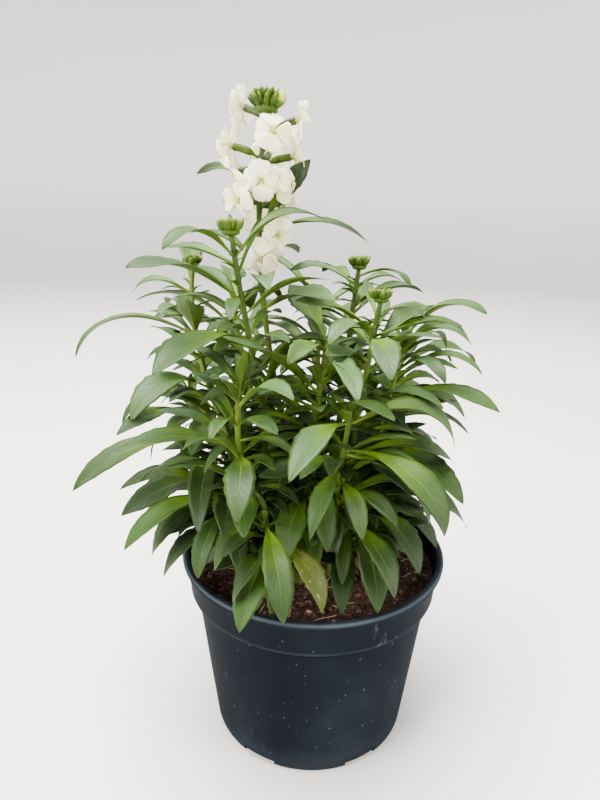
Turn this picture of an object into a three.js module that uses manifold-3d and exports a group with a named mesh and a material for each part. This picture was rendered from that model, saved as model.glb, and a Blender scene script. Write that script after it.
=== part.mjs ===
// A white wallflower in a round nursery pot: leafy stems rooted in compost, the tallest one in flower.
// Millimetres, +Z up. The origin is the middle of the pot's base, and the viewer stands towards -Y.
import * as THREE from "three";
import { mergeVertices } from "three/addons/utils/BufferGeometryUtils.js";
import Module from "manifold-3d";

const wasm = await Module();
wasm.setup();

// Pot
const POT_HEIGHT = 94.7;
const LIP_RADIUS = 65;
const LIP_DEPTH = 2.6;
const COLLAR_HEIGHT = 15.4;
const COLLAR_TOP_RADIUS = 62.8;
const COLLAR_FOOT_RADIUS = 61.2;
const BODY_RADIUS = 58.4;
const BASE_RADIUS = 49.5;
const POT_WALL = 1.4;
const POT_FLOOR = 2;
const ROUND_SIDES = 28;
const DRAIN_COUNT = 6;
const DRAIN_WIDTH = 17;
const DRAIN_HEIGHT = 3.4;

// Soil
const SOIL_TOP = 87.5;
// The rim of the soil sinks to where the wall is narrower, so it keeps back by this
const SOIL_RIM_INSET = 1;
const SOIL_RINGS = [0.35, 0.68];

// The space kept between neighbouring pieces
const CLEARANCE = 0.35;
const PETAL_CLEARANCE = 0.2;

// Stems: radius at the foot and at the top, and the corners of their section
const STEM_FOOT_RADIUS = 1.9;
const STEM_TOP_RADIUS = 1.1;
const STEM_SIDES = 4;
const STEM_STATIONS = [0, 0.22, 0.42, 0.6, 0.75, 0.88, 1];
const HOLE_DEPTH = 0.22;

// Leaves: half width as a share of the length, half width of the stalk, and how far a root is sunk
const LEAF_HALF_WIDTH = 0.13;
const LEAF_THICKNESS = 0.9;
const LEAF_STALK = 0.7;
const LEAF_ROOT = 0.45;
// The midrib is walked in steps, and the blade has its corners at some of them
const MIDRIB_STEPS = 50;
const BLADE_STEPS = [0, 15, 27, 38];
const RIGHT_TEETH = [1, 1, 1.16, 0.86];
const LEFT_TEETH = [1, 1, 0.92, 1.2];
// How unlike each other leaves are, in degrees except for width and wave
const CURL = [-14, 14];
const TWIST = [-18, 18];
const WIDTH = [0.9, 1.12];
const FOLD = [26, 44];
const WAVE = [-1, 1];
const TIP_FOLD = 8;
const LIGHT_TURN = 25;
// The leaves of a rule: rise of the lowest and of the highest, its spread, and droop
const RULE_RISE = [5, 45];
const RULE_RISE_SPREAD = 10;
const RULE_DROOP = [60, 100];
const GOLDEN_SECTION = 0.618034;

// Swings tried in turn on a leaf that would touch another stem: degrees of bearing and of rise
const SWINGS = [
  [0, 0], [6, 0], [-6, 0], [0, 6], [0, -6], [10, 6], [-10, 6], [14, 0], [-14, 0], [0, 13], [0, -12],
  [20, 8], [-20, 8], [12, 20], [-12, 20], [28, 0], [-28, 0], [0, 28], [36, 12], [-36, 12],
  [50, 0], [-50, 0], [45, 25], [-45, 25],
];

// Heads of buds: core and buds as shares of the head's reach, and the turn from bud to bud
const BUD_CORE = 0.62;
const BUD_ROOT = 0.3;
const BUD_LENGTH = 0.7;
const BUD_WIDTH = 0.82;
const GOLDEN_ANGLE = 137.5;

// Flowers. A point of a petal's outline is [degrees from its axis, share of its length],
// and the first point lies between two petals.
const PETAL_LENGTH = 9.4;
const PETAL_THICKNESS = 0.8;
const PETAL_OUTLINE = [[-45, 0.2], [-38, 0.62], [-25, 0.93], [-2, 1], [24, 0.95], [37, 0.62]];
const PETAL_WAVE = [-0.3, 0.4];
const CALYX_LENGTH = 7;
const CALYX_RADIUS = 2;
const CALYX_RIM = -0.9;
const CALYX_MOUTH = 1.5;
const CALYX_HOLE = 3;
const THROAT_RADIUS = 0.9;
const THROAT_DEPTH = 2.6;
const STALK_RADIUS = 0.7;
const STALK_DROP = 9;

// Each leafy stem: the four points that draw its curve, its shown leaves, and rules for the rest.
// A leaf is [share of the stem's curve, bearing, length, rise at its root, droop to its tip, breadth].
// A rule is [leaves, lowest share, highest share, middle bearing, spread, shortest, longest].
// A head of buds is [reach, how flat it is, lean of the outermost bud, buds].
const SHOOTS = {
  flowering_stem: {
    curve: [[-2, 5, 78], [-6, 8, 130], [-38, 10, 210], [-24, 8, 297]],
    leaves: [
      [0.88, 150, 40, 25, 50, 0.7], [0.84, 35, 28, 45, 35, 1.1], [0.8, -8, 38, 58, 15, 1.1],
      [0.8, 5, 52, 18, 65, 0.6], [0.68, -90, 46, 40, 80], [0.66, -50, 50, 25, 40],
      [0.75, 70, 50, 15, 40],
    ],
    more: [[5, 0.5, 0.82, 110, 150, 36, 50], [6, 0.25, 0.5, 0, 360, 42, 56]],
    buds: [9.5, 0.8, 100, 18],
  },
  tall_left: {
    curve: [[-6, -4, 78], [-14, -6, 125], [-30, -16, 190], [-37, -18, 247]],
    leaves: [
      [0.94, -130, 40, 40, 95, 1.1], [0.92, 150, 37, 20, 30, 0.8], [0.84, -145, 54, 35, 50, 1.1],
      [0.94, -15, 46, 40, 90], [0.9, 40, 26, 75, 5, 0.6], [0.84, 135, 38, 10, 75],
      [0.84, -100, 26, 10, 60], [0.76, -110, 30, 25, 40], [0.75, -125, 56, 10, 45, 1.2],
      [0.74, -55, 36, 20, 30], [0.96, 110, 16, 60, 10],
    ],
    more: [[3, 0.5, 0.8, 140, 90, 36, 50], [5, 0.3, 0.6, -60, 240, 40, 54]],
    buds: [7.5, 0.5, 75, 8],
  },
  left_high: {
    curve: [[-12, 2, 78], [-22, 0, 120], [-64, 0, 175], [-57, 6, 232]],
    leaves: [
      [0.92, -175, 30, 35, 100, 0.8], [0.92, 145, 20, 20, 60, 0.8], [0.8, -85, 40, 40, 10, 1.3],
      [0.81, -165, 62, 28, 105, 0.5], [0.84, 40, 20, 10, 30, 0.8], [0.8, 125, 26, 10, 40],
      [0.74, -175, 28, 35, 100, 0.8], [0.66, -120, 54, 30, 95, 1.1], [0.62, -160, 50, 25, 105, 0.7],
      [0.62, -70, 42, 25, 78, 1.2], [0.58, -95, 46, 20, 70, 0.9],
    ],
    more: [[5, 0.5, 0.92, 100, 120, 34, 50]],
    buds: [5.5, 0.8, 90, 7],
  },
  left_low: {
    curve: [[-14, 8, 78], [-22, 10, 110], [-48, 15, 130], [-63, 20, 165]],
    leaves: [
      [0.93, -130, 50, 15, 40, 0.8], [0.96, 160, 38, 20, 90, 0.6], [0.77, -155, 74, 10, 60, 0.7],
      [0.71, 150, 62, 20, 110, 0.5], [0.7, 130, 60, 15, 90, 0.6], [0.74, -160, 28, 10, 30],
      [0.58, -160, 60, 0, 35], [0.71, -125, 66, 15, 80, 0.8],
    ],
    more: [[6, 0.45, 0.98, 90, 100, 40, 55]],
  },
  front_left: {
    curve: [[-9, -11, 78], [-26, -20, 110], [-38, -40, 150], [-31, -42, 192]],
    leaves: [
      [0.75, -150, 48, 25, 35], [0.72, -80, 46, 15, 80, 1.15], [0.84, -55, 30, 30, 60, 1.1],
      [0.9, -45, 40, 45, 75], [0.94, -65, 24, 70, 20], [0.91, -100, 24, 55, 60],
      [0.96, 150, 26, 50, 40],
    ],
    more: [[7, 0.35, 0.7, 190, 220, 38, 50]],
  },
  centre: {
    curve: [[-1, -8, 78], [-3, -10, 120], [-2, -20, 170], [3, -24, 203]],
    leaves: [
      [0.96, -110, 36, 25, 60, 1.1], [0.98, 120, 50, 30, 15], [0.79, -140, 54, 40, 20, 1.1],
      [0.86, -70, 50, 30, 75], [0.97, 100, 26, 25, 10], [0.42, -105, 54, 5, 60, 0.9],
      [0.33, -92, 46, 5, 95], [0.45, -70, 46, 5, 70],
    ],
    more: [[10, 0.35, 0.85, -90, 260, 36, 50]],
  },
  right_high: {
    curve: [[6, -2, 78], [12, -8, 120], [20, -12, 180], [26, -12, 220]],
    leaves: [
      [0.89, -165, 38, 40, 35, 0.8], [0.86, -120, 40, 40, 100], [0.93, 100, 28, 35, 10],
      [0.87, 60, 22, 45, 10], [0.94, 10, 26, 30, 110, 0.7], [0.86, -85, 42, 10, 60, 1.1],
      [0.79, -120, 40, 25, 30], [0.87, 20, 47, 15, 35, 1.2],
    ],
    more: [[3, 0.55, 0.8, 60, 80, 40, 50], [6, 0.3, 0.7, -30, 300, 40, 54]],
    buds: [6.5, 0.5, 75, 7],
  },
  right: {
    curve: [[13, 5, 78], [16, 5, 115], [36, 2, 165], [38, 0, 197]],
    leaves: [
      [0.95, -50, 44, 55, 110, 0.8], [0.96, 40, 52, 25, 90, 0.6], [0.91, 20, 32, 35, 100, 0.6],
      [0.85, -15, 46, 45, 110, 0.5], [0.88, -60, 38, 40, 100, 0.8], [0.81, 40, 40, 10, 50],
      [0.77, -25, 52, 20, 60, 0.9], [0.74, -40, 26, 25, 50, 0.8], [0.73, 15, 46, 20, 90],
      [0.75, -85, 32, 25, 50], [0.54, -50, 56, 15, 70, 1.1],
    ],
    more: [[6, 0.4, 0.97, 85, 130, 40, 55]],
  },
  front_right: {
    curve: [[7, -13, 78], [6, -26, 110], [9, -36, 145], [13, -36, 177]],
    leaves: [
      [0.95, -120, 52, 10, 50, 1.05], [0.76, -155, 38, 5, 10], [0.94, 5, 55, 25, 110, 1.1],
      [0.83, -40, 60, 5, 95], [0.8, -25, 50, 0, 90, 0.9], [0.78, 10, 58, 10, 70, 0.9],
      [0.8, 50, 50, 5, 50], [0.73, -105, 46, 10, 78, 0.85], [0.68, -75, 36, 5, 70, 0.9],
    ],
    more: [[3, 0.45, 0.65, 10, 120, 42, 52]],
  },
  basal_right: {
    curve: [[15, -8, 78], [15, -12, 98], [17, -15, 115], [20, -18, 136]],
    leaves: [
      [0.64, -75, 54, 10, 78], [0.69, -95, 42, 5, 90, 0.8], [0.92, -5, 56, 15, 80],
      [0.98, 30, 52, 10, 90], [0.88, -110, 30, 15, 60, 1.1],
    ],
    more: [[5, 0.5, 0.95, 0, 200, 44, 56]],
  },
  basal_left: {
    curve: [[-16, -6, 78], [-20, -10, 100], [-32, -16, 115], [-42, -20, 132]],
    leaves: [
      [0.96, -138, 52, 5, 60, 1.3], [0.9, -155, 46, 0, 80], [0.85, -115, 42, 0, 95],
      [0.76, -90, 38, 10, 95],
    ],
    more: [[5, 0.5, 0.9, -170, 220, 44, 54]],
  },
  basal_front: {
    curve: [[-3, -19, 78], [-10, -28, 98], [-18, -38, 112], [-22, -44, 130]],
    leaves: [
      [0.6, -110, 50, 20, 85, 1.1], [0.95, -70, 50, 5, 100, 1.1], [0.85, -50, 44, 0, 100],
    ],
    more: [[3, 0.5, 0.8, -130, 140, 40, 48]],
  },
  upper_right: {
    curve: [[6, 9, 78], [10, 14, 130], [14, 20, 190], [19, 20, 231]],
    leaves: [
      [0.96, -20, 28, 25, 90, 0.8], [0.93, 150, 36, 30, 60, 0.8], [0.92, 25, 26, 30, 70],
      [0.85, -60, 34, 40, 50],
    ],
    more: [[7, 0.45, 0.9, 90, 160, 32, 44]],
    buds: [7, 0.5, 75, 8],
  },
  back_left: {
    curve: [[-8, 16, 78], [-14, 22, 120], [-40, 45, 165], [-44, 50, 203]],
    leaves: [],
    more: [[13, 0.4, 0.98, 120, 240, 38, 58]],
  },
  back_middle: {
    curve: [[3, 18, 78], [4, 28, 125], [2, 46, 170], [0, 52, 212]],
    leaves: [],
    more: [[12, 0.4, 0.98, 90, 240, 38, 58]],
  },
  back_right: {
    curve: [[14, 16, 78], [20, 24, 120], [42, 42, 160], [48, 46, 195]],
    leaves: [],
    more: [[11, 0.4, 0.98, 50, 220, 38, 56]],
  },
  basal_back_left: {
    curve: [[-7, 25, 78], [-8, 28, 95], [-18, 36, 110], [-24, 40, 132]],
    leaves: [],
    more: [[8, 0.6, 0.98, 125, 170, 42, 56]],
  },
  basal_back_right: {
    curve: [[22, 6, 78], [24, 8, 95], [30, 20, 112], [36, 26, 134]],
    leaves: [],
    more: [[6, 0.6, 0.98, 45, 170, 42, 56]],
  },
};

// Each flower: [height of its throat, bearing and reach from the stem, bearing and rise of its face, turn]
const FLOWERS = [
  [289, -65, 11, -80, 12, 10], [264, -82, 13, -105, -10, 0], [251, -45, 12, -70, -5, 30],
  [238, -75, 10, -90, -15, 10], [278, 178, 13, 165, 10, 40], [270, -150, 11, -160, -20, 20],
  [266, -5, 14, -20, 0, 15], [292, 15, 14, 15, 15, 30],
  [287, 150, 12, 150, 15, 0], [282, 80, 13, 85, 20, 0], [268, 120, 13, 125, 5, 50],
  [256, 90, 12, 95, 0, 0],
];
// Changes tried in turn on a flower that would touch another: bearing, height, bearing of its face
const FLOWER_SWINGS = [
  [0, 0, 0], [0, 0, 15], [0, 0, -15], [8, 0, 0], [-8, 0, 0], [0, 3, 0], [0, -3, 0], [8, 3, 10],
  [-8, 3, -10], [8, -3, 20], [-8, -3, -20], [0, 0, 30], [0, 0, -30], [15, 0, 20], [-15, 0, -20],
  [0, 6, 0], [0, -6, 0], [20, 5, 0], [-20, 5, 0], [20, -5, 0], [-20, -5, 0], [35, 0, 30],
  [-35, 0, -30], [50, 5, 0], [-50, 5, 0], [0, 10, 0], [0, -10, 0], [30, 9, 0], [-30, 9, 0],
  [30, -9, 0], [-30, -9, 0], [50, -8, 40], [-50, -8, -40], [65, 0, 60], [-65, 0, -60],
];

const rad = THREE.MathUtils.degToRad;
const vec = (x, y, z) => new THREE.Vector3(x, y, z);

// Draws between 0 and 1 that come out the same each time
let seed = 2024;
function draw() {
  seed = (seed * 16807) % 2147483647;
  return seed / 2147483647;
}

function between([low, high]) {
  return low + (high - low) * draw();
}

// The direction of a bearing, anticlockwise from +X, and a rise above the level
function heading(bearing, rise) {
  const level = Math.cos(rad(rise));
  return vec(level * Math.cos(rad(bearing)), level * Math.sin(rad(bearing)), Math.sin(rad(rise)));
}

// A solid that can be cut and joined, from any closed geometry
function solidOf(geometry) {
  const bare = geometry.clone();
  bare.deleteAttribute("normal");
  bare.deleteAttribute("uv");
  const merged = mergeVertices(bare, 1e-4);
  const corners = merged.index.array;
  const faces = [];
  for (let i = 0; i < corners.length; i += 3) {
    const [a, b, c] = corners.slice(i, i + 3);
    if (a !== b && b !== c && c !== a) faces.push(a, b, c);
  }
  return new wasm.Manifold(
    new wasm.Mesh({
      numProp: 3,
      vertProperties: new Float32Array(merged.attributes.position.array),
      triVerts: new Uint32Array(faces),
    }),
  );
}

function geometryOf(solid) {
  const cut = solid.getMesh();
  const geometry = new THREE.BufferGeometry();
  geometry.setAttribute("position", new THREE.BufferAttribute(cut.vertProperties, 3));
  geometry.setIndex(new THREE.BufferAttribute(cut.triVerts, 1));
  geometry.computeVertexNormals();
  return geometry;
}

// A rod whose rings follow a curve: each ring stands square to it, with the radius of its station
function rod(curve, stations, radii, sides) {
  const shape = new THREE.CylinderGeometry(1, 1, 1, sides, stations.length - 1);
  const spots = shape.attributes.position;
  for (let i = 0; i < spots.count; i++) {
    const ring = Math.round((spots.getY(i) + 0.5) * (stations.length - 1));
    const along = curve.getTangent(THREE.MathUtils.clamp(stations[ring], 0, 1));
    const across = vec(1, 0, 0).addScaledVector(along, -along.x).normalize();
    const over = vec(0, 0, 0).crossVectors(across, along);
    const spot = curve.getPoint(stations[ring]);
    spot.addScaledVector(across, spots.getX(i) * radii[ring]);
    spot.addScaledVector(over, spots.getZ(i) * radii[ring]);
    spots.setXYZ(i, spot.x, spot.y, spot.z);
  }
  return solidOf(shape);
}

// A thin blade from rows of four corners, [left, top, right, under], closed at a tip.
// Both faces are split along the same diagonals, so they stay parallel where the blade waves.
function blade(rows, tip) {
  const spots = [...rows.flat(), tip];
  const last = 4 * (rows.length - 1);
  const faces = [[0, 2, 1], [0, 3, 2]];
  for (let k = 0; k < last; k += 4) {
    const [left, top, right, under] = [k, k + 1, k + 2, k + 3];
    faces.push([left, top, left + 4], [top, top + 4, left + 4]);
    faces.push([top, right + 4, top + 4], [top, right, right + 4]);
    faces.push([right, under, right + 4], [under, under + 4, right + 4]);
    faces.push([under, left + 4, under + 4], [under, left, left + 4]);
  }
  const end = spots.length - 1;
  for (let corner = 0; corner < 4; corner++) {
    faces.push([last + corner, last + ((corner + 1) % 4), end]);
  }
  const shape = new THREE.BufferGeometry().setFromPoints(spots);
  shape.setIndex(faces.flat());
  return solidOf(shape);
}

// Pot

function potOuter() {
  const collarFoot = POT_HEIGHT - LIP_DEPTH - COLLAR_HEIGHT;
  return [
    [BASE_RADIUS - 1.5, 0],
    [BASE_RADIUS, 1.5],
    [BODY_RADIUS, collarFoot - 0.8],
    [COLLAR_FOOT_RADIUS, collarFoot],
    [COLLAR_TOP_RADIUS, POT_HEIGHT - LIP_DEPTH],
    [LIP_RADIUS, POT_HEIGHT - LIP_DEPTH + 0.5],
    [LIP_RADIUS, POT_HEIGHT - 0.7],
    [LIP_RADIUS - 0.7, POT_HEIGHT],
  ];
}

// The wall's inner side, from the lip down to the floor. The soil's side follows it.
function potInner() {
  const collarFoot = POT_HEIGHT - LIP_DEPTH - COLLAR_HEIGHT;
  return [
    [COLLAR_TOP_RADIUS - POT_WALL + 0.4, POT_HEIGHT],
    [COLLAR_TOP_RADIUS - POT_WALL, POT_HEIGHT - LIP_DEPTH],
    [COLLAR_FOOT_RADIUS - POT_WALL, collarFoot + 1],
    [BODY_RADIUS - POT_WALL, collarFoot - 2],
    [BASE_RADIUS - POT_WALL, POT_FLOOR],
  ];
}

function turned(profile) {
  const points = profile.map(([radius, height]) => new THREE.Vector2(radius, height));
  return new THREE.LatheGeometry(points, ROUND_SIDES).rotateX(Math.PI / 2);
}

function pot() {
  let body = solidOf(turned([[0, 0], ...potOuter(), ...potInner(), [0, POT_FLOOR]]));
  for (let i = 0; i < DRAIN_COUNT; i++) {
    const slot = new THREE.BoxGeometry(10, DRAIN_WIDTH, 2 * DRAIN_HEIGHT);
    slot.translate(BASE_RADIUS, 0, 0);
    slot.rotateZ(rad((360 / DRAIN_COUNT) * i));
    body = body.subtract(solidOf(slot));
  }
  return body;
}

// Soil

function soilBump(x, y) {
  const broad = 1.1 * Math.sin(0.13 * x + 1) * Math.cos(0.11 * y);
  const fine = 0.6 * Math.sin(0.37 * x - 0.21 * y);
  return broad + fine - 0.0006 * (x * x + y * y);
}

function soil() {
  const side = potInner().map(([radius, height]) => [radius - CLEARANCE, height]);
  const [, high, middle, low, base] = side;
  const reach = high[0] - SOIL_RIM_INSET;
  const top = [...SOIL_RINGS].reverse().map((share) => [share * reach, SOIL_TOP]);
  const profile = [[0, base[1] + CLEARANCE], [base[0], base[1] + CLEARANCE], low, middle];
  const shape = turned([...profile, [reach, SOIL_TOP], ...top, [0, SOIL_TOP]]);
  const spots = shape.attributes.position;
  for (let i = 0; i < spots.count; i++) {
    if (spots.getZ(i) < SOIL_TOP - 1) continue;
    spots.setZ(i, SOIL_TOP + soilBump(spots.getX(i), spots.getY(i)));
  }
  return solidOf(shape);
}

// Stems

function stemCurve(name) {
  return new THREE.CubicBezierCurve3(...SHOOTS[name].curve.map((point) => vec(...point)));
}

function stemRadius(share) {
  return STEM_FOOT_RADIUS + (STEM_TOP_RADIUS - STEM_FOOT_RADIUS) * share;
}

function stem(curve) {
  return rod(curve, STEM_STATIONS, STEM_STATIONS.map(stemRadius), STEM_SIDES);
}

// The straight foot of a stem, a little larger and longer: what it leaves in the soil
function stemHole(curve) {
  const radii = [0, HOLE_DEPTH].map((share) => stemRadius(share) + CLEARANCE);
  return rod(curve, [-0.01, HOLE_DEPTH], radii, STEM_SIDES);
}

// Leaves

// What a leaf row leaves open: sideways curl, twist, width and the depth of its fold
function habit(turn) {
  return {
    curl: between(CURL),
    twist: between(TWIST) + turn,
    width: between(WIDTH),
    fold: between(FOLD),
    wave: between(WAVE),
  };
}

// The midrib's points and directions, walked from the stem with a rise that falls ever faster
function midrib(root, bearing, length, rise, droop, curl) {
  const walk = [];
  const spot = root.clone();
  for (let k = 0; k <= MIDRIB_STEPS; k++) {
    const share = k / MIDRIB_STEPS;
    const way = heading(bearing + curl * share, rise - droop * share ** 1.7);
    walk.push({ share, spot: spot.clone(), way, bearing: bearing + curl * share });
    spot.addScaledVector(way, length / MIDRIB_STEPS);
  }
  return walk;
}

function leafOutline(share) {
  return Math.max(Math.sin(Math.PI * share ** 1.35), 0) ** 1.2;
}

// One leaf: a narrow root, the widest part past the middle, blunt teeth and an acute tip
function leaf(curve, row, form, swing, extra) {
  const [share0, bearing, length, rise, droop, breadth = 1] = row;
  const root = curve.getPoint(share0);
  root.addScaledVector(heading(bearing + swing[0], 0), LEAF_ROOT * stemRadius(share0));
  const walk = midrib(root, bearing + swing[0], length, rise + swing[1], droop, form.curl);
  const broadest = length * LEAF_HALF_WIDTH * breadth * form.width;
  const rows = [];
  BLADE_STEPS.forEach((step, k) => {
    const { share, spot, way, bearing: facing } = walk[step];
    const level = heading(facing - 90, 0);
    const over = vec(0, 0, 0).crossVectors(level, way);
    const twist = rad(form.twist * share);
    const across = level.clone().multiplyScalar(Math.cos(twist)).addScaledVector(over, Math.sin(twist));
    over.crossVectors(across, way);
    const half = Math.max(broadest * leafOutline(share), LEAF_STALK);
    const fold = Math.tan(rad(form.fold * (1 - share) ** 1.5 + TIP_FOLD));
    const wave = form.wave * Math.sin(9 * share) * share;
    const thick = LEAF_THICKNESS / 2 + extra;
    const right = half * RIGHT_TEETH[k] + extra;
    const left = half * LEFT_TEETH[k] + extra;
    rows.push([
      spot.clone().addScaledVector(across, -left).addScaledVector(over, left * fold + wave),
      spot.clone().addScaledVector(over, thick),
      spot.clone().addScaledVector(across, right).addScaledVector(over, right * fold - wave),
      spot.clone().addScaledVector(over, -thick),
    ]);
  });
  const end = walk[MIDRIB_STEPS];
  return blade(rows, end.spot.clone().addScaledVector(end.way, extra));
}

// The leaves of a rule: each turns on from the last by the golden section of the spread
function ruledRows([count, low, high, middle, spread, shortest, longest]) {
  const rows = [];
  for (let k = 0; k < count; k++) {
    const share = count > 1 ? k / (count - 1) : 0;
    const bearing = middle + spread * (((k * GOLDEN_SECTION) % 1) - 0.5);
    const rise = RULE_RISE[0] + (RULE_RISE[1] - RULE_RISE[0]) * share + RULE_RISE_SPREAD * draw();
    const length = between([shortest, longest]);
    rows.push([low + (high - low) * share, bearing, length, rise, between(RULE_DROOP)]);
  }
  return rows;
}

// Buds

// A head of buds: a small core with buds standing out of it, upright in the middle and leaning at the rim.
// A head is [reach, how flat it is, lean of the outermost bud, buds].
function budHead(middle, [reach, flat, lean, count]) {
  const core = new THREE.OctahedronGeometry(BUD_CORE * reach);
  core.scale(1, 1, flat).translate(middle.x, middle.y, middle.z);
  let head = solidOf(core);
  const thick = (BUD_WIDTH * reach) / Math.sqrt(count);
  for (let k = 0; k < count; k++) {
    const from = lean * Math.sqrt((k + 0.4) / count);
    const way = heading(GOLDEN_ANGLE * k, 90 - from);
    const root = middle.clone().addScaledVector(way, BUD_ROOT * reach);
    root.z = middle.z + (root.z - middle.z) * flat;
    const line = new THREE.LineCurve3(root, root.clone().addScaledVector(way, BUD_LENGTH * reach));
    head = head.add(rod(line, [0, 0.6, 0.85, 1], [0, thick, 0.85 * thick, 0], 4));
  }
  return head;
}

// Flowers

// The share of a stem's curve that lies at a height
function shareAtHeight(curve, height) {
  let low = 0;
  let high = 1;
  for (let k = 0; k < 30; k++) {
    const middle = (low + high) / 2;
    if (curve.getPoint(middle).z < height) low = middle;
    else high = middle;
  }
  return low;
}

// Where a flower's throat is, and the way its face, its right side and its upper side point
function flowerFrame([height, bearing, reach, faceBearing, faceRise, turn], curve) {
  const share = shareAtHeight(curve, height);
  const throat = curve.getPoint(share).addScaledVector(heading(bearing, 0), reach);
  const face = heading(faceBearing, faceRise);
  const level = heading(faceBearing - 90, 0);
  const over = vec(0, 0, 0).crossVectors(level, face);
  return { throat, face, level, over, turn, height };
}

// A point beside the throat: outwards at an angle round the face, and forward of it
function beside(frame, angle, out, forward) {
  return frame.throat
    .clone()
    .addScaledVector(frame.level, out * Math.cos(rad(angle)))
    .addScaledVector(frame.over, out * Math.sin(rad(angle)))
    .addScaledVector(frame.face, forward);
}

// How far forward of the throat a petal's surface lies: a shallow cup whose rim bends back
function petalForward(share, wave) {
  return 1.5 * Math.sin(Math.PI * share ** 0.8) - 0.9 * share * share + wave * share;
}

// Four petals round a peg, the joined claws that stand in the calyx
function corolla(frame, waves, extra) {
  const spots = [];
  const faces = [];
  const put = (angle, share, forward, wave = 0) => {
    const out = PETAL_LENGTH * share + (share > 0 ? extra : 0);
    return spots.push(beside(frame, frame.turn + angle, out, petalForward(share, wave) + forward)) - 1;
  };
  const centre = put(0, 0, 0.5 + extra);
  const peg = put(0, 0, -THROAT_DEPTH - extra);
  const thick = PETAL_THICKNESS / 2 + extra;
  const ripple = (wave, j) => (j > 0 ? wave * (-1) ** j : 0);
  const petals = waves.map((wave, k) => ({
    rim: PETAL_OUTLINE.map(([angle, share], j) => put(90 * k + angle, share, 0, ripple(wave, j))),
    upper: put(90 * k, 0.6, thick),
    under: put(90 * k, 0.6, -thick),
    claw: put(90 * k, THROAT_RADIUS / PETAL_LENGTH, -1 - extra),
    gap: put(90 * k - 45, THROAT_RADIUS / PETAL_LENGTH, -1 - extra),
  }));
  petals.forEach(({ rim, upper, under, claw, gap }, k) => {
    const next = petals[(k + 1) % petals.length];
    const edge = [...rim, next.rim[0]];
    for (let j = 0; j < rim.length; j++) {
      faces.push([upper, edge[j + 1], edge[j]], [under, edge[j], edge[j + 1]]);
    }
    faces.push([centre, upper, edge[0]], [centre, next.rim[0], upper]);
    faces.push([gap, edge[0], under], [gap, under, claw]);
    faces.push([claw, under, next.gap], [next.gap, under, next.rim[0]]);
    faces.push([peg, gap, claw], [peg, claw, next.gap]);
  });
  const shape = new THREE.BufferGeometry().setFromPoints(spots);
  shape.setIndex(faces.flat());
  return solidOf(shape);
}

// A stalk from the stem that widens into the calyx, which is open for the petals' claws
function calyx(frame, curve, extra) {
  const foot = curve.getPoint(shareAtHeight(curve, frame.height - STALK_DROP));
  const rim = beside(frame, 0, 0, CALYX_RIM);
  const stalk = new THREE.QuadraticBezierCurve3(foot, beside(frame, 0, 0, -2 * CALYX_LENGTH), rim);
  const start = 1 - CALYX_LENGTH / foot.distanceTo(rim);
  const hole = 1 - CALYX_HOLE / foot.distanceTo(rim);
  const radii = [STALK_RADIUS, STALK_RADIUS, 0.95 * CALYX_RADIUS, CALYX_RADIUS, CALYX_MOUTH, 0];
  const stations = [0, start, start + 0.15, 1, 1, hole];
  return rod(stalk, stations, radii.map((radius, k) => radius + (k < 4 ? extra : 0)), 4);
}

// Everything put together, each piece clear of what stands already

const plant = new THREE.Group();
const standing = [];

function boxesMeet(a, b) {
  return [0, 1, 2].every((axis) => a.min[axis] <= b.max[axis] && b.min[axis] <= a.max[axis]);
}

// A sprig is a leaf or a calyx, which its own stem's other sprigs keep clear of too
function stand(node, solid, isSprig = false) {
  standing.push({ node, solid, isSprig, box: solid.boundingBox() });
}

function cutsInto(solid, others) {
  const box = solid.boundingBox();
  return others.some(
    (other) => boxesMeet(box, other.box) && !solid.intersect(other.solid).isEmpty(),
  );
}

function touches(solid, node) {
  return cutsInto(solid, standing.filter((other) => other.node !== node));
}

function crosses(solid, node) {
  return cutsInto(solid, standing.filter((other) => other.isSprig && other.node === node));
}

const body = { pot: pot(), soil: soil() };
for (const name of Object.keys(SHOOTS)) {
  const curve = stemCurve(name);
  body.soil = body.soil.subtract(stemHole(curve));
  body[name] = stem(curve);
  stand(name, body[name]);
  if (SHOOTS[name].buds) {
    const head = budHead(curve.getPoint(1), SHOOTS[name].buds);
    body[name] = body[name].add(head);
    stand(name, head);
  }
}
stand("pot", body.pot);
stand("soil", body.soil);

// Adds a leaf at the first swing that clears every other node, or leaves it out
function grow(name, row, form) {
  const curve = stemCurve(name);
  const clear = SWINGS.filter((turn) => !touches(leaf(curve, row, form, turn, CLEARANCE), name));
  const swing = clear.find((turn) => !crosses(leaf(curve, row, form, turn, 0), name)) ?? clear[0];
  if (!swing) return;
  const grown = leaf(curve, row, form, swing, 0);
  body[name] = body[name].add(grown);
  stand(name, grown, true);
}

// The shown leaves turn their faces to the light at the front
function growShown(name) {
  SHOOTS[name].leaves.forEach((row) => {
    grow(name, row, habit(-LIGHT_TURN * Math.cos(rad(row[1]))));
  });
}

const flowerStem = stemCurve("flowering_stem");
growShown("flowering_stem");

FLOWERS.forEach((row, index) => {
  const waves = [0, 1, 2, 3].map(() => between(PETAL_WAVE));
  const name = "bloom_" + String(index + 1).padStart(2, "0");
  const [height, bearing, reach, faceBearing, ...rest] = row;
  const frames = FLOWER_SWINGS.map(([turn, lift, face]) =>
    flowerFrame([height + lift, bearing + turn, reach, faceBearing + face, ...rest], flowerStem),
  );
  const frame = frames.find(
    (trial) =>
      !touches(corolla(trial, waves, PETAL_CLEARANCE), "") &&
      !touches(calyx(trial, flowerStem, PETAL_CLEARANCE), "flowering_stem") &&
      !crosses(calyx(trial, flowerStem, 0), "flowering_stem"),
  );
  if (!frame) return;
  body[name] = corolla(frame, waves, 0);
  stand(name, body[name]);
  const cup = calyx(frame, flowerStem, 0);
  body.flowering_stem = body.flowering_stem.add(cup);
  stand("flowering_stem", cup, true);
});

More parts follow.
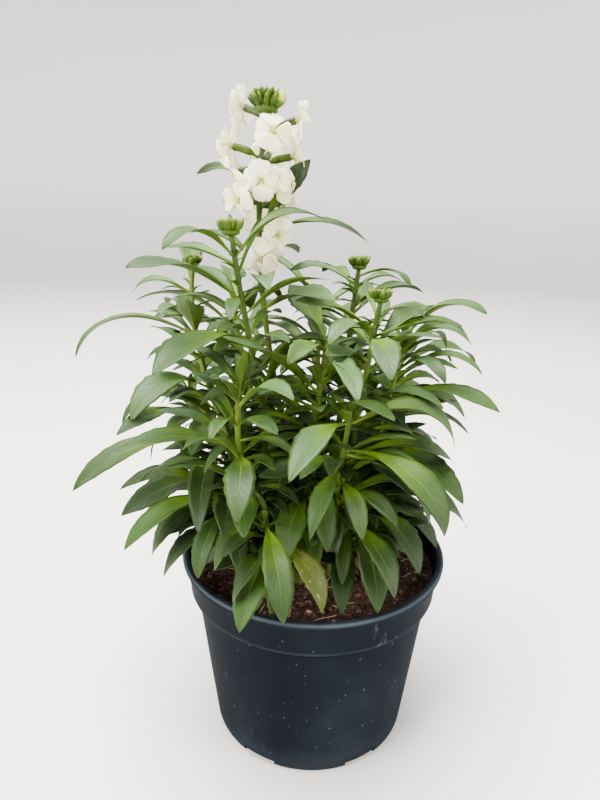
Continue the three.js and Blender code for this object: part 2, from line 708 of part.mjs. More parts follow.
for (const name of Object.keys(SHOOTS)) {
  if (name !== "flowering_stem") growShown(name);
}
for (const [name, shoot] of Object.entries(SHOOTS)) {
  shoot.more.flatMap(ruledRows).forEach((row) => grow(name, row, habit(0)));
}

const finishes = {
  pot: new THREE.MeshStandardMaterial({ color: 0x31373e, roughness: 0.5, metalness: 0 }),
  soil: new THREE.MeshStandardMaterial({ color: 0x3a261c, roughness: 0.95, metalness: 0 }),
  green: new THREE.MeshStandardMaterial({ color: 0x4d6b3c, roughness: 0.55, metalness: 0 }),
  white: new THREE.MeshStandardMaterial({ color: 0xf2f1e6, roughness: 0.6, metalness: 0 }),
};

for (const [name, solid] of Object.entries(body)) {
  const finish = finishes[name] ?? (name.startsWith("bloom") ? finishes.white : finishes.green);
  const mesh = new THREE.Mesh(geometryOf(solid), finish);
  mesh.name = name;
  plant.add(mesh);
}

export default plant;
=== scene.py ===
import random
from math import cos, exp, hypot, pi, radians, sin, sqrt, tan

import bmesh
import bpy
from mathutils import Matrix, Vector, kdtree, noise


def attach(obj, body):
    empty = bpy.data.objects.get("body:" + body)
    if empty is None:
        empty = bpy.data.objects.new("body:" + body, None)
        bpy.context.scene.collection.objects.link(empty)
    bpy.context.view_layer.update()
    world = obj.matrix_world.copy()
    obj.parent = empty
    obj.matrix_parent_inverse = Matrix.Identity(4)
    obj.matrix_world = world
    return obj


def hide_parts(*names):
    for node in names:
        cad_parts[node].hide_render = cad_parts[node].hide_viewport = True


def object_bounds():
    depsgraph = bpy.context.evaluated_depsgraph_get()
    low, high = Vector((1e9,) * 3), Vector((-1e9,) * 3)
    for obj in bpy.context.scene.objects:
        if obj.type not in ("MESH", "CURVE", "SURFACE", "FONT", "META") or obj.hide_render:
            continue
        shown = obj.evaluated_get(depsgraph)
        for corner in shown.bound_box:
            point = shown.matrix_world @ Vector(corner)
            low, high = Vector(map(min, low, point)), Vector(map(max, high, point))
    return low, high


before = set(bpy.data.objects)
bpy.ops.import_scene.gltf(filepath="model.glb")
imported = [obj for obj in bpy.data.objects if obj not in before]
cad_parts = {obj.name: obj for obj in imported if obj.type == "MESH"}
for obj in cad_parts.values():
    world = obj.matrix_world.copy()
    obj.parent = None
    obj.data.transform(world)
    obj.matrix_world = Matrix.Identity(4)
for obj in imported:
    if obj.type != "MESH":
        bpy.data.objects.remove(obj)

# A potted white wallflower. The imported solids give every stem, leaf and flower its place,
# and each one is modelled here again with fine edges, veins and stamens.
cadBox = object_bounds()
mm = 0.001
atEnd = 1e-6  # a share this near 0 or 1 is the end itself
print("frame loaded:", len(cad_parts), "nodes")


# Small helpers for shader maths

class Wire:
    # one socket that can stand in a sum
    def __init__(self, finish, socket):
        self.finish = finish
        self.socket = socket

    def math(self, operation, *values):
        return self.finish.node("ShaderNodeMath", {"operation": operation}, dict(enumerate(values)))

    def __add__(self, other):
        return self.math("ADD", self, other)

    def __sub__(self, other):
        return self.math("SUBTRACT", self, other)

    def __rsub__(self, other):
        return self.math("SUBTRACT", other, self)

    def __mul__(self, other):
        return self.math("MULTIPLY", self, other)

    def __truediv__(self, other):
        return self.math("DIVIDE", self, other)

    def __pow__(self, other):
        return self.math("POWER", self, other)

    def __abs__(self):
        return self.math("ABSOLUTE", self)

    def fract(self):
        return self.math("FRACT", self)

    def band(self, low, high):
        # 0 below low, 1 above high, smooth between; low may be the larger one
        flip = low > high
        ends = {"From Min": min(low, high), "From Max": max(low, high),
                "To Min": 1.0 if flip else 0.0, "To Max": 0.0 if flip else 1.0}
        return self.finish.node("ShaderNodeMapRange", {"interpolation_type": "SMOOTHSTEP"},
                                {"Value": self, **ends})

    def output(self, name):
        return Wire(self.finish, self.socket.node.outputs[name])


def tint(code):
    # a linear colour from the usual six digits
    parts = [int(code[k:k + 2], 16) / 255 for k in (0, 2, 4)]
    return (*[c / 12.92 if c <= 0.04045 else ((c + 0.055) / 1.055) ** 2.4 for c in parts], 1.0)


class Finish:
    def __init__(self, name, colours):
        self.colours = {key: tint(code) for key, code in colours.items()}
        self.material = bpy.data.materials.new(name)
        self.material.use_nodes = True
        self.tree = self.material.node_tree
        self.tree.nodes.clear()
        self.place = self.node("ShaderNodeTexCoord", output="Object")

    def node(self, kind, settings={}, values={}, output=0):
        made = self.tree.nodes.new(kind)
        for key, value in settings.items():
            setattr(made, key, value)
        for key, value in values.items():
            if isinstance(value, Wire):
                self.tree.links.new(value.socket, made.inputs[key])
            else:
                made.inputs[key].default_value = value
        return Wire(self, made.outputs[output])

    def mix(self, amount, *pair):
        # each of the pair is a wire or the name of one of the finish's colours
        first, second = [self.colours[c] if isinstance(c, str) else c for c in pair]
        return self.node("ShaderNodeMix", {"data_type": "RGBA"}, {0: amount, 6: first, 7: second}, 2)

    def coats(self, colour, **amounts):
        # lays the named colours over one another
        for name, amount in amounts.items():
            colour = self.mix(amount, colour, name)
        return colour

    def noise(self, scale, detail=2.0, where=None, roughness=0.5):
        return self.node("ShaderNodeTexNoise", {}, {"Vector": where or self.place, "Scale": scale,
                                                    "Detail": detail, "Roughness": roughness})

    def cells(self, scale, where=None):
        return self.node("ShaderNodeTexVoronoi", {}, {"Vector": where or self.place, "Scale": scale})

    def stretched(self, x, y, z, where=None):
        return self.node("ShaderNodeMapping", {}, {"Vector": where or self.place, "Scale": (x, y, z)})

    def parts(self, vector):
        x = self.node("ShaderNodeSeparateXYZ", {}, {0: vector})
        return x, x.output("Y"), x.output("Z")

    def channels(self, colour):
        red = self.node("ShaderNodeSeparateColor", {}, {0: colour})
        return red, red.output("Green"), red.output("Blue")

    def map(self):
        # the piece's own map: its share across or around, and its share from foot to tip
        return self.parts(self.node("ShaderNodeUVMap", {"uv_map": "shape"}))[:2]

    def tone(self):
        # what differs from leaf to leaf: the tone, which also carries painted shade, the waxy bloom with its
        # painted sheen, and the age or how far a bud is open
        return self.channels(self.node("ShaderNodeAttribute", {"attribute_name": "tone"}))

    def surface(self, colour, roughness, bump=None, specular=0.2, more={}):
        # bump is its height, its depth in metres and its strength
        values = {"Base Color": colour, "Roughness": roughness, "Specular IOR Level": specular, **more}
        if bump:
            height, distance, strength = bump
            values["Normal"] = self.node("ShaderNodeBump", {}, {"Height": height, "Distance": distance,
                                                                "Strength": strength})
        shader = self.node("ShaderNodeBsdfPrincipled", {}, values)
        end = self.tree.nodes.new("ShaderNodeOutputMaterial")
        self.tree.links.new(shader.socket, end.inputs["Surface"])
        return self.material


# Small helpers for shapes, in millimetres

def heading(bearing, rise):
    level = cos(radians(rise))
    return Vector((level * cos(radians(bearing)), level * sin(radians(bearing)), sin(radians(rise))))


def bezier(points, share):
    a, b, c, d = [Vector(p) for p in points]
    k = 1 - share
    return a * k ** 3 + b * (3 * k * k * share) + c * (3 * k * share * share) + d * share ** 3


def bezierWay(points, share):
    a, b, c, d = [Vector(p) for p in points]
    k = 1 - share
    return ((b - a) * (3 * k * k) + (c - b) * (6 * k * share) + (d - c) * (3 * share * share)).normalized()


def soft(value, low, high):
    t = min(max((value - low) / (high - low), 0.0), 1.0)
    return t * t * (3 - 2 * t)


def circled(point, across, over, angle, reach):
    return point + across * (reach * cos(angle)) + over * (reach * sin(angle))


def sidesOf(way):
    # two directions square to one that isn't level along x
    across = (Vector((1, 0, 0)) - way * way.x).normalized()
    return across, across.cross(way)


def acrossBlade(a):
    # a blade's skin runs over its top and back below; -1 and 1 are its edges
    top = a <= 0.5
    return top, 4 * a - 1 if top else 3 - 4 * a


def bulge(x):
    return sqrt(max(1 - x * x, 0))


def addObject(name, data):
    made = bpy.data.objects.new(name, data)
    bpy.context.scene.collection.objects.link(made)
    return made


def meshOf(bm, name, finishes=()):
    mesh = bpy.data.meshes.new(name)
    bm.to_mesh(mesh)
    bm.free()
    for finish in finishes:
        mesh.materials.append(finish)
    return mesh


def enter(piece, slot, *nodes):
    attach(piece, "root")
    if nodes:
        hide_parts(*nodes)


def spun(profile, sides, near):
    # a surface turned from points of radius and height, in which points nearer than near become one
    bm = bmesh.new()
    points = [bm.verts.new((radius, 0, height)) for radius, height in profile]
    edges = [bm.edges.new(pair) for pair in zip(points, points[1:])]
    bmesh.ops.spin(bm, geom=points + edges, axis=(0, 0, 1), cent=(0, 0, 0), steps=sides,
                   angle=2 * pi, use_merge=True)
    bmesh.ops.remove_doubles(bm, verts=bm.verts, dist=near)
    bmesh.ops.recalc_face_normals(bm, faces=bm.faces)
    return bm


class Piece:
    # a mesh in the making: skins are added one by one, then it becomes one object
    def __init__(self, name, finishes):
        self.name = name
        self.finishes = finishes
        self.bm = bmesh.new()
        self.uv = self.bm.loops.layers.uv.new("shape")
        self.tone = self.bm.verts.layers.float_color.new("tone")

    def skin(self, grid, place, finish=0, tone=(0.5, 0.5, 0, 1), underFinish=None):
        # a grid whose left and right edges meet; place(a, s) shapes it, and both ends close to a point
        around, along = grid
        made = bmesh.ops.create_grid(self.bm, x_segments=around, y_segments=along, size=0.5)["verts"]
        shares = {v: (v.co.x + 0.5, v.co.y + 0.5) for v in made}
        for face in {f for v in made for f in v.link_faces}:
            middle = sum(shares[v][0] for v in face.verts) / len(face.verts)
            face.material_index = underFinish if underFinish is not None and middle > 0.5 else finish
            face.smooth = True
            for loop in face.loops:
                a, s = shares[loop.vert]
                across = a if underFinish is None else (2 * a if middle < 0.5 else 2 - 2 * a)
                loop[self.uv].uv = (across, s)
        for v in made:
            v.co = place(*shares[v])
            v[self.tone] = tone
        bmesh.ops.remove_doubles(self.bm, verts=made, dist=0.0004)

    def join(self, bm):
        # takes in a small mesh that was made by itself, which is quicker than adding to a large one
        mesh = meshOf(bm, "part")
        self.bm.from_mesh(mesh)
        bpy.data.meshes.remove(mesh)

    def done(self, slot, *nodes):
        bmesh.ops.scale(self.bm, vec=(mm, mm, mm), verts=self.bm.verts)
        bmesh.ops.recalc_face_normals(self.bm, faces=self.bm.faces)
        enter(addObject(self.name, meshOf(self.bm, self.name, self.finishes)), slot, *nodes)


def tube(path, radius, ribs=0.0):
    # place function of a rod along path(s) -> (point, direction), with five ribs and closed ends
    def place(a, s):
        point, way = path(s)
        if s < atEnd or s > 1 - atEnd:
            return point
        angle = 2 * pi * a
        return circled(point, *sidesOf(way), angle, radius(s) * (1 + ribs * cos(5 * angle)))
    return place


def pod(root, tip, thick, furrow=0.06, lobes=4, fullness=0.8):
    # place function of a bud, anther or other small closed body between two points
    way = (tip - root).normalized()
    side = way.cross(Vector((0.3, 0.9, 0.1))).normalized()
    other = way.cross(side)

    def place(a, s):
        angle = 2 * pi * a
        swell = max(sin(pi * s ** fullness), 0) ** 0.7
        reach = thick * swell * (1 - furrow * cos(lobes * angle))
        return circled(root.lerp(tip, s), side, other, angle, reach)
    return place


# Finishes of the plant

# the underside colours are partly the undersides' own paler olive and partly painted light: brightened and
# yellowed to stand in for light shining through the leaf
leafColours = {
    "deep": "0d1f01", "fresh": "264001", "bright": "547401", "bloomy": "3f5931", "stalk": "576e17",
    "rib": "506a1d", "edge": "344e0e", "yellow": "3d4209", "spots": "8d9365", "under": "3a4f07",
    "underDeep": "263a05",
}

# on a blade's top and on its underside
leafSides = {
    "ribTint": (0.5, 0.75), "ribHeight": (-0.9, 0.9), "veinTint": (0.1, 0.22), "veinHeight": (-0.35, 0.35),
    "roughness": (0.46, 0.56),
}


def leafFinish(name, under):
    f = Finish(name, leafColours)
    side = {key: pair[under] for key, pair in leafSides.items()}
    across, along = f.map()
    own, bloom, age = f.tone()
    fromRib = abs(across * 2 - 1)
    broad = f.noise(38, 3)
    fine = f.noise(420, 2)
    # own carries each leaf's tone, which is darker low down and at the very top, partly its own green and
    # partly painted shade
    shade = (broad * 0.7 + own * 0.6 + fine * 0.25 - 0.35).band(0.1, 0.8)
    if under:
        # painted light: the underside's olive is brightened to stand in for light shining through the leaf
        colour = f.mix(shade, "underDeep", "under")
    else:
        colour = f.mix(shade, "deep", "fresh")
        # painted sheen: the parts that face up get a pale bluish veil standing in for the sky's reflection,
        # laid over the leaves' own waxy bloom
        facesUp = f.parts(f.node("ShaderNodeNewGeometry", output="Normal"))[2].band(-0.05, 0.8)
        waxAndSheen = facesUp * (f.noise(16, 2) + fromRib * 0.2).band(0.25, 0.6) * (bloom * 0.85 + 0.05)
        colour = f.coats(colour, bright=along.band(0.7, 0.25) * broad.band(0.3, 0.55) * 0.85,
                         bloomy=waxAndSheen * along.band(0.15, 0.5))
    veinPairs, slant = 12.0, 2.2
    vein = abs((along * veinPairs - fromRib * slant).fract() - 0.5).band(0.41, 0.49) * fromRib.band(0.95, 0.1)
    colour = f.coats(colour, rib=vein * side["veinTint"], edge=fromRib.band(0.84, 1.0) * 0.45,
                     yellow=age * (fine * 0.5 + broad).band(0.35, 0.9),
                     spots=age.band(0.3, 0.7) * f.noise(650, 2).band(0.62, 0.7) * 0.4)
    ribWidth = (1 - along) * 0.13 + 0.035
    rib = (fromRib / ribWidth).band(1.1, 0.45)
    colour = f.coats(colour, rib=rib * side["ribTint"] * along.band(1.15, 0.35), stalk=along.band(0.24, 0.04))
    height = rib * side["ribHeight"] + vein * side["veinHeight"] + fine * 0.12 + f.noise(150, 2) * 0.5
    return f.surface(colour, fine * 0.14 + side["roughness"], (height, 0.00045, 0.8))


def stemFinish():
    f = Finish("stemSkin", {"dark": "32450a", "light": "526318", "woody": "54452a"})
    along = f.map()[1]
    streak = f.noise(90, 3, f.stretched(1, 1, 0.12))
    colour = f.mix(streak.band(0.35, 0.65), "dark", "light")
    colour = f.mix(along.band(0.35, 0.02) * 0.7, colour, "woody")
    return f.surface(colour, streak * 0.15 + 0.45, (streak + f.noise(700, 2) * 0.3, 0.0004, 0.6))


def budFinish():
    f = Finish("budSkin", {"dark": "1d2f01", "light": "3a4f01", "tip": "7c8d1c", "opening": "a9b43a"})
    around, along = f.map()
    own, _, opened = f.tone()
    grain = f.noise(500, 2)
    colour = f.mix((grain + own * 0.6).band(0.45, 1.0), "dark", "light")
    colour = f.coats(colour, tip=along.band(0.72, 0.98) * 0.45, opening=opened * along.band(0.35, 0.6))
    sepals = 4.0
    seam = abs((around * sepals).fract() - 0.5).band(0.42, 0.5)
    return f.surface(colour, grain * 0.15 + 0.42, (grain * 0.4 - seam * 0.6, 0.0003, 0.7))


def petalFinish():
    f = Finish("petalSkin", {"shade": "efe19c", "white": "fff7cc", "vein": "d6d3a6", "claw": "c9cb74"})
    along = f.map()[1]
    own = f.tone()[0]
    veins = f.noise(9, 3, f.stretched(3.2, 0.35, 1, f.node("ShaderNodeUVMap", {"uv_map": "shape"})))
    cloud = f.noise(120, 2)
    colour = f.mix((cloud + own * 0.5).band(0.3, 1.0), "shade", "white")
    colour = f.coats(colour, vein=veins.band(0.5, 0.75) * 0.3, claw=along.band(0.42, 0.08))
    height = veins * 0.8 + f.noise(900, 2) * 0.2
    thin = {"Subsurface Weight": 0.5, "Subsurface Scale": 0.002, "Subsurface Radius": (1.0, 1.0, 0.9)}
    return f.surface(colour, cloud * 0.15 + 0.5, (height, 0.0003, 0.6), more=thin)


def antherFinish():
    f = Finish("antherDust", {"dark": "b7b04a", "light": "dcd382"})
    grain = f.noise(1500, 2)
    colour = f.mix(grain.band(0.4, 0.6), "dark", "light")
    return f.surface(colour, grain * 0.2 + 0.6, (grain, 0.0001, 0.6), 0.5)


leafTop, leafUnder = leafFinish("leafTop", False), leafFinish("leafUnder", True)
stemGreen, budGreen, petalWhite, antherDust = stemFinish(), budFinish(), petalFinish(), antherFinish()
print("finishes of the plant made")


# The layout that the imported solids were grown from, in millimetres and degrees

plant = {
    "seed": 2024, "lightTurn": 25, "midribSteps": 50, "halfWidth": 0.13, "root": 0.45,
    "tipFold": 8, "curl": (-14, 14), "twist": (-18, 18), "width": (0.9, 1.12), "fold": (26, 44),
    "wave": (-1, 1), "waves": 9, "petalWave": (-0.3, 0.4), "ruleRise": (5, 45), "riseSpread": 10,
    "ruleDroop": (60, 100), "goldenSection": 0.618034, "goldenAngle": 137.5, "stemFoot": 1.9, "stemTop": 1.1,
    "petal": 9.4, "calyx": 7, "calyxRim": -0.9, "throatDepth": 2.6, "stalkDrop": 9, "lastCorner": 38,
    "halfThick": 0.45,
}

# a leaf is [share of the stem, bearing, length, rise at its root, droop to its tip, breadth, further twist],
# a rule is [leaves, lowest share, highest share, middle bearing, spread, shortest, longest]
# and a head of buds is [reach, how flat it is, lean of the outermost bud, buds]
shoots = {
    "flowering_stem": {"curve": [[-2, 5, 78], [-6, 8, 130], [-38, 10, 210], [-24, 8, 297]], "leaves": [
        [0.88, 150, 40, 25, 50, 0.7, 55], [0.84, 35, 28, 45, 35, 1.1], [0.8, -8, 38, 58, 15, 1.1, -85],
        [0.8, 5, 52, 18, 65, 0.6], [0.68, -90, 46, 40, 80], [0.66, -50, 50, 25, 40], [0.75, 70, 50, 15, 40],
    ], "more": [[5, 0.5, 0.82, 110, 150, 36, 50], [6, 0.25, 0.5, 0, 360, 42, 56]],
        "buds": [9.5, 0.8, 100, 18]},
    "tall_left": {"curve": [[-6, -4, 78], [-14, -6, 125], [-30, -16, 190], [-37, -18, 247]], "leaves": [
        [0.94, -130, 40, 40, 95, 1.1], [0.92, 150, 37, 20, 30, 0.8], [0.84, -145, 54, 35, 50, 1.1],
        [0.94, -15, 46, 40, 90], [0.9, 40, 26, 75, 5, 0.6], [0.84, 135, 38, 10, 75],
        [0.84, -100, 26, 10, 60], [0.76, -110, 30, 25, 40], [0.75, -125, 56, 10, 45, 1.2],
        [0.74, -55, 36, 20, 30], [0.96, 110, 16, 60, 10],
    ], "more": [[3, 0.5, 0.8, 140, 90, 36, 50], [5, 0.3, 0.6, -60, 240, 40, 54]], "buds": [7.5, 0.5, 75, 8]},
    "left_high": {"curve": [[-12, 2, 78], [-22, 0, 120], [-64, 0, 175], [-57, 6, 232]], "leaves": [
        [0.92, -175, 30, 35, 100, 0.8], [0.92, 145, 20, 20, 60, 0.8], [0.8, -85, 40, 40, 10, 1.3],
        [0.81, -165, 62, 28, 105, 0.5], [0.84, 40, 20, 10, 30, 0.8], [0.8, 125, 26, 10, 40],
        [0.74, -175, 28, 35, 100, 0.8], [0.66, -120, 54, 30, 95, 1.1], [0.62, -160, 50, 25, 105, 0.7],
        [0.62, -70, 42, 25, 78, 1.2], [0.58, -95, 46, 20, 70, 0.9],
    ], "more": [[5, 0.5, 0.92, 100, 120, 34, 50]], "buds": [5.5, 0.8, 90, 7]},
    "left_low": {"curve": [[-14, 8, 78], [-22, 10, 110], [-48, 15, 130], [-63, 20, 165]], "leaves": [
        [0.93, -130, 50, 15, 40, 0.8], [0.96, 160, 38, 20, 90, 0.6], [0.77, -155, 74, 10, 60, 0.7],
        [0.71, 150, 62, 20, 110, 0.5], [0.7, 130, 60, 15, 90, 0.6], [0.74, -160, 28, 10, 30],
        [0.58, -160, 60, 0, 35], [0.71, -125, 66, 15, 80, 0.8],
    ], "more": [[6, 0.45, 0.98, 90, 100, 40, 55]]},
    "front_left": {"curve": [[-9, -11, 78], [-26, -20, 110], [-38, -40, 150], [-31, -42, 192]], "leaves": [
        [0.75, -150, 48, 25, 35], [0.72, -80, 46, 15, 80, 1.15], [0.84, -55, 30, 30, 60, 1.1],
        [0.9, -45, 40, 45, 75], [0.94, -65, 24, 70, 20], [0.91, -100, 24, 55, 60], [0.96, 150, 26, 50, 40],
    ], "more": [[7, 0.35, 0.7, 190, 220, 38, 50]]},
    "centre": {"curve": [[-1, -8, 78], [-3, -10, 120], [-2, -20, 170], [3, -24, 203]], "leaves": [
        [0.96, -110, 36, 25, 60, 1.1], [0.98, 120, 50, 30, 15], [0.79, -140, 54, 40, 20, 1.1],
        [0.86, -70, 50, 30, 75], [0.97, 100, 26, 25, 10], [0.42, -105, 54, 5, 60, 0.9],
        [0.33, -92, 46, 5, 95], [0.45, -70, 46, 5, 70],
    ], "more": [[10, 0.35, 0.85, -90, 260, 36, 50]]},
    "right_high": {"curve": [[6, -2, 78], [12, -8, 120], [20, -12, 180], [26, -12, 220]], "leaves": [
        [0.89, -165, 38, 40, 35, 0.8], [0.86, -120, 40, 40, 100], [0.93, 100, 28, 35, 10],
        [0.87, 60, 22, 45, 10], [0.94, 10, 26, 30, 110, 0.7], [0.86, -85, 42, 10, 60, 1.1],
        [0.79, -120, 40, 25, 30], [0.87, 20, 47, 15, 35, 1.2],
    ], "more": [[3, 0.55, 0.8, 60, 80, 40, 50], [6, 0.3, 0.7, -30, 300, 40, 54]], "buds": [6.5, 0.5, 75, 7]},
    "right": {"curve": [[13, 5, 78], [16, 5, 115], [36, 2, 165], [38, 0, 197]], "leaves": [
        [0.95, -50, 44, 55, 110, 0.8], [0.96, 40, 52, 25, 90, 0.6], [0.91, 20, 32, 35, 100, 0.6],
        [0.85, -15, 46, 45, 110, 0.5], [0.88, -60, 38, 40, 100, 0.8], [0.81, 40, 40, 10, 50],
        [0.77, -25, 52, 20, 60, 0.9], [0.74, -40, 26, 25, 50, 0.8], [0.73, 15, 46, 20, 90],
        [0.75, -85, 32, 25, 50], [0.54, -50, 56, 15, 70, 1.1],
    ], "more": [[6, 0.4, 0.97, 85, 130, 40, 55]]},
    "front_right": {"curve": [[7, -13, 78], [6, -26, 110], [9, -36, 145], [13, -36, 177]], "leaves": [
        [0.95, -120, 52, 10, 50, 1.05], [0.76, -155, 38, 5, 10], [0.94, 5, 55, 25, 110, 1.1],
        [0.83, -40, 60, 5, 95], [0.8, -25, 50, 0, 90, 0.9], [0.78, 10, 58, 10, 70, 0.9],
        [0.8, 50, 50, 5, 50], [0.73, -105, 46, 10, 78, 0.85], [0.68, -75, 36, 5, 70, 0.9],
    ], "more": [[3, 0.45, 0.65, 10, 120, 42, 52]]},
    "basal_right": {"curve": [[15, -8, 78], [15, -12, 98], [17, -15, 115], [20, -18, 136]], "leaves": [
        [0.64, -75, 54, 10, 78], [0.69, -95, 42, 5, 90, 0.8], [0.92, -5, 56, 15, 80],
        [0.98, 30, 52, 10, 90], [0.88, -110, 30, 15, 60, 1.1],
    ], "more": [[5, 0.5, 0.95, 0, 200, 44, 56]]},
    "basal_left": {"curve": [[-16, -6, 78], [-20, -10, 100], [-32, -16, 115], [-42, -20, 132]], "leaves": [
        [0.96, -138, 52, 5, 60, 1.3], [0.9, -155, 46, 0, 80], [0.85, -115, 42, 0, 95],
        [0.76, -90, 38, 10, 95],
    ], "more": [[5, 0.5, 0.9, -170, 220, 44, 54]]},
    "basal_front": {"curve": [[-3, -19, 78], [-10, -28, 98], [-18, -38, 112], [-22, -44, 130]], "leaves": [
        [0.6, -110, 50, 20, 85, 1.1], [0.95, -70, 50, 5, 100, 1.1], [0.85, -50, 44, 0, 100],
    ], "more": [[3, 0.5, 0.8, -130, 140, 40, 48]]},
    "upper_right": {"curve": [[6, 9, 78], [10, 14, 130], [14, 20, 190], [19, 20, 231]], "leaves": [
        [0.96, -20, 28, 25, 90, 0.8], [0.93, 150, 36, 30, 60, 0.8], [0.92, 25, 26, 30, 70],
        [0.85, -60, 34, 40, 50],
    ], "more": [[7, 0.45, 0.9, 90, 160, 32, 44]], "buds": [7, 0.5, 75, 8]},
    "back_left": {"curve": [[-8, 16, 78], [-14, 22, 120], [-40, 45, 165], [-44, 50, 203]],
        "more": [[13, 0.4, 0.98, 120, 240, 38, 58]]},
    "back_middle": {"curve": [[3, 18, 78], [4, 28, 125], [2, 46, 170], [0, 52, 212]],
        "more": [[12, 0.4, 0.98, 90, 240, 38, 58]]},
    "back_right": {"curve": [[14, 16, 78], [20, 24, 120], [42, 42, 160], [48, 46, 195]],
        "more": [[11, 0.4, 0.98, 50, 220, 38, 56]]},
    "basal_back_left": {"curve": [[-7, 25, 78], [-8, 28, 95], [-18, 36, 110], [-24, 40, 132]],
        "more": [[8, 0.6, 0.98, 125, 170, 42, 56]]},
    "basal_back_right": {"curve": [[22, 6, 78], [24, 8, 95], [30, 20, 112], [36, 26, 134]],
        "more": [[6, 0.6, 0.98, 45, 170, 42, 56]]},
}

# a flower is [height of its throat, bearing and reach from the stem, bearing and rise of its face, turn]
flowers = [
    [286, -65, 11, -80, 12, 10], [267, -82, 13, -105, -10, 0], [245, -45, 12, -70, -5, 30],
    [235, -83, 10, -110, -15, 10], [281, 178, 13, 165, 10, 40], [270, -150, 11, -175, -20, 20],
    [258, 45, 14, 20, 0, 15], [292, 15, 14, 15, 15, 30], [297, 150, 12, 150, 15, 0],
    [279, 80, 13, 85, 20, 0], [262, 120, 13, 125, 5, 50], [250, 90, 12, 95, 0, 0],
]

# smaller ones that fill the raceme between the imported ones
fillers = [[266, -31, 15.5, -22, -6, 20], [277, -2, 13.5, 8, 6, 30], [259, -124, 12.5, -140, -4, 10]]

# turns of a leaf [bearing, rise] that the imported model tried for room, in the same order
leafSwings = [
    [0, 0], [6, 0], [-6, 0], [0, 6], [0, -6], [10, 6], [-10, 6], [14, 0], [-14, 0], [0, 13], [0, -12],
    [20, 8], [-20, 8], [12, 20], [-12, 20], [28, 0], [-28, 0], [0, 28], [36, 12], [-36, 12],
    [50, 0], [-50, 0], [45, 25], [-45, 25],
]


class Draws:
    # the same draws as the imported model's
    def __init__(self, seed):
        self.seed = seed

    def draw(self):
        most = 2147483647
        self.seed = (self.seed * 16807) % most
        return self.seed / most

    def between(self, ends):
        return ends[0] + (ends[1] - ends[0]) * self.draw()


draws = Draws(plant["seed"])


def habit(turn):
    form = {key: draws.between(plant[key]) for key in ("curl", "twist", "width", "fold", "wave")}
    form["twist"] += turn
    return form


def ruledRows(rule):
    count, low, high, middle, spread, shortest, longest = rule
    rows = []
    for k in range(count):
        share = k / (count - 1) if count > 1 else 0
        bearing = middle + spread * (((k * plant["goldenSection"]) % 1) - 0.5)
        first, last = plant["ruleRise"]
        rise = first + (last - first) * share + plant["riseSpread"] * draws.draw()
        length = draws.between((shortest, longest))
        droop = draws.between(plant["ruleDroop"])
        rows.append([low + (high - low) * share, bearing, length, rise, droop])
    return rows


def extra(row, index, usual):
    return row[index] if len(row) > index else usual


def stemRadius(share):
    return plant["stemFoot"] + (plant["stemTop"] - plant["stemFoot"]) * share


def midrib(root, bearing, length, rise, droop, curl):
    steps = plant["midribSteps"]
    walk = []
    spot = root.copy()
    for k in range(steps + 1):
        share = k / steps
        way = heading(bearing + curl * share, rise - droop * share ** 1.7)
        walk.append((spot.copy(), way, bearing + curl * share))
        spot = spot + way * (length / steps)
    return walk


def leafWalk(name, row, form, swing):
    share, bearing, length, rise, droop = row[:5]
    bearing += swing[0]
    out = heading(bearing, 0) * (plant["root"] * stemRadius(share))
    root = bezier(shoots[name]["curve"], share) + out
    return midrib(root, bearing, length, rise + swing[1], droop, form["curl"])


def axes(way, facing, twist):
    level = heading(facing - 90, 0)
    over = level.cross(way)
    across = level * cos(twist) + over * sin(twist)
    return across, across.cross(way)


def leafMarks(walk, form):
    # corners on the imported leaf's midrib and at its tip, to tell which turn it was given
    step = plant["lastCorner"]
    spot, way, facing = walk[step]
    over = axes(way, facing, radians(form["twist"] * step / plant["midribSteps"]))[1] * plant["halfThick"]
    return [spot + over, spot - over, walk[-1][0]]


def markFinder(name):
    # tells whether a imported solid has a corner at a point
    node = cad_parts[name]
    tree = spotTree([node.matrix_world @ v.co for v in node.data.vertices])
    return lambda point: tree.find(point * mm)[2] < 3e-5


def spotTree(spots):
    tree = kdtree.KDTree(len(spots))
    for k, spot in enumerate(spots):
        tree.insert(spot, k)
    tree.balance()
    return tree


grown = {name: [] for name in shoots}
markFinders = {name: markFinder(name) for name in shoots}


def place(name, row, form):
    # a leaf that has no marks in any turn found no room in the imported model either
    for swing in leafSwings:
        walk = leafWalk(name, row, form, swing)
        if sum(markFinders[name](mark) for mark in leafMarks(walk, form)) > 1:
            grown[name].append((walk, row, form))
            return


def placeShown(name):
    for row in shoots[name].get("leaves", []):
        place(name, row, habit(-plant["lightTurn"] * cos(radians(row[1]))))


placeShown("flowering_stem")
flowerWaves = [[draws.between(plant["petalWave"]) for _ in range(4)] for _ in flowers]
for name in shoots:
    if name != "flowering_stem":
        placeShown(name)
for name in shoots:
    for row in [row for rule in shoots[name]["more"] for row in ruledRows(rule)]:
        place(name, row, habit(0))
print("leaves found:", sum(len(rows) for rows in grown.values()))


# Leaves

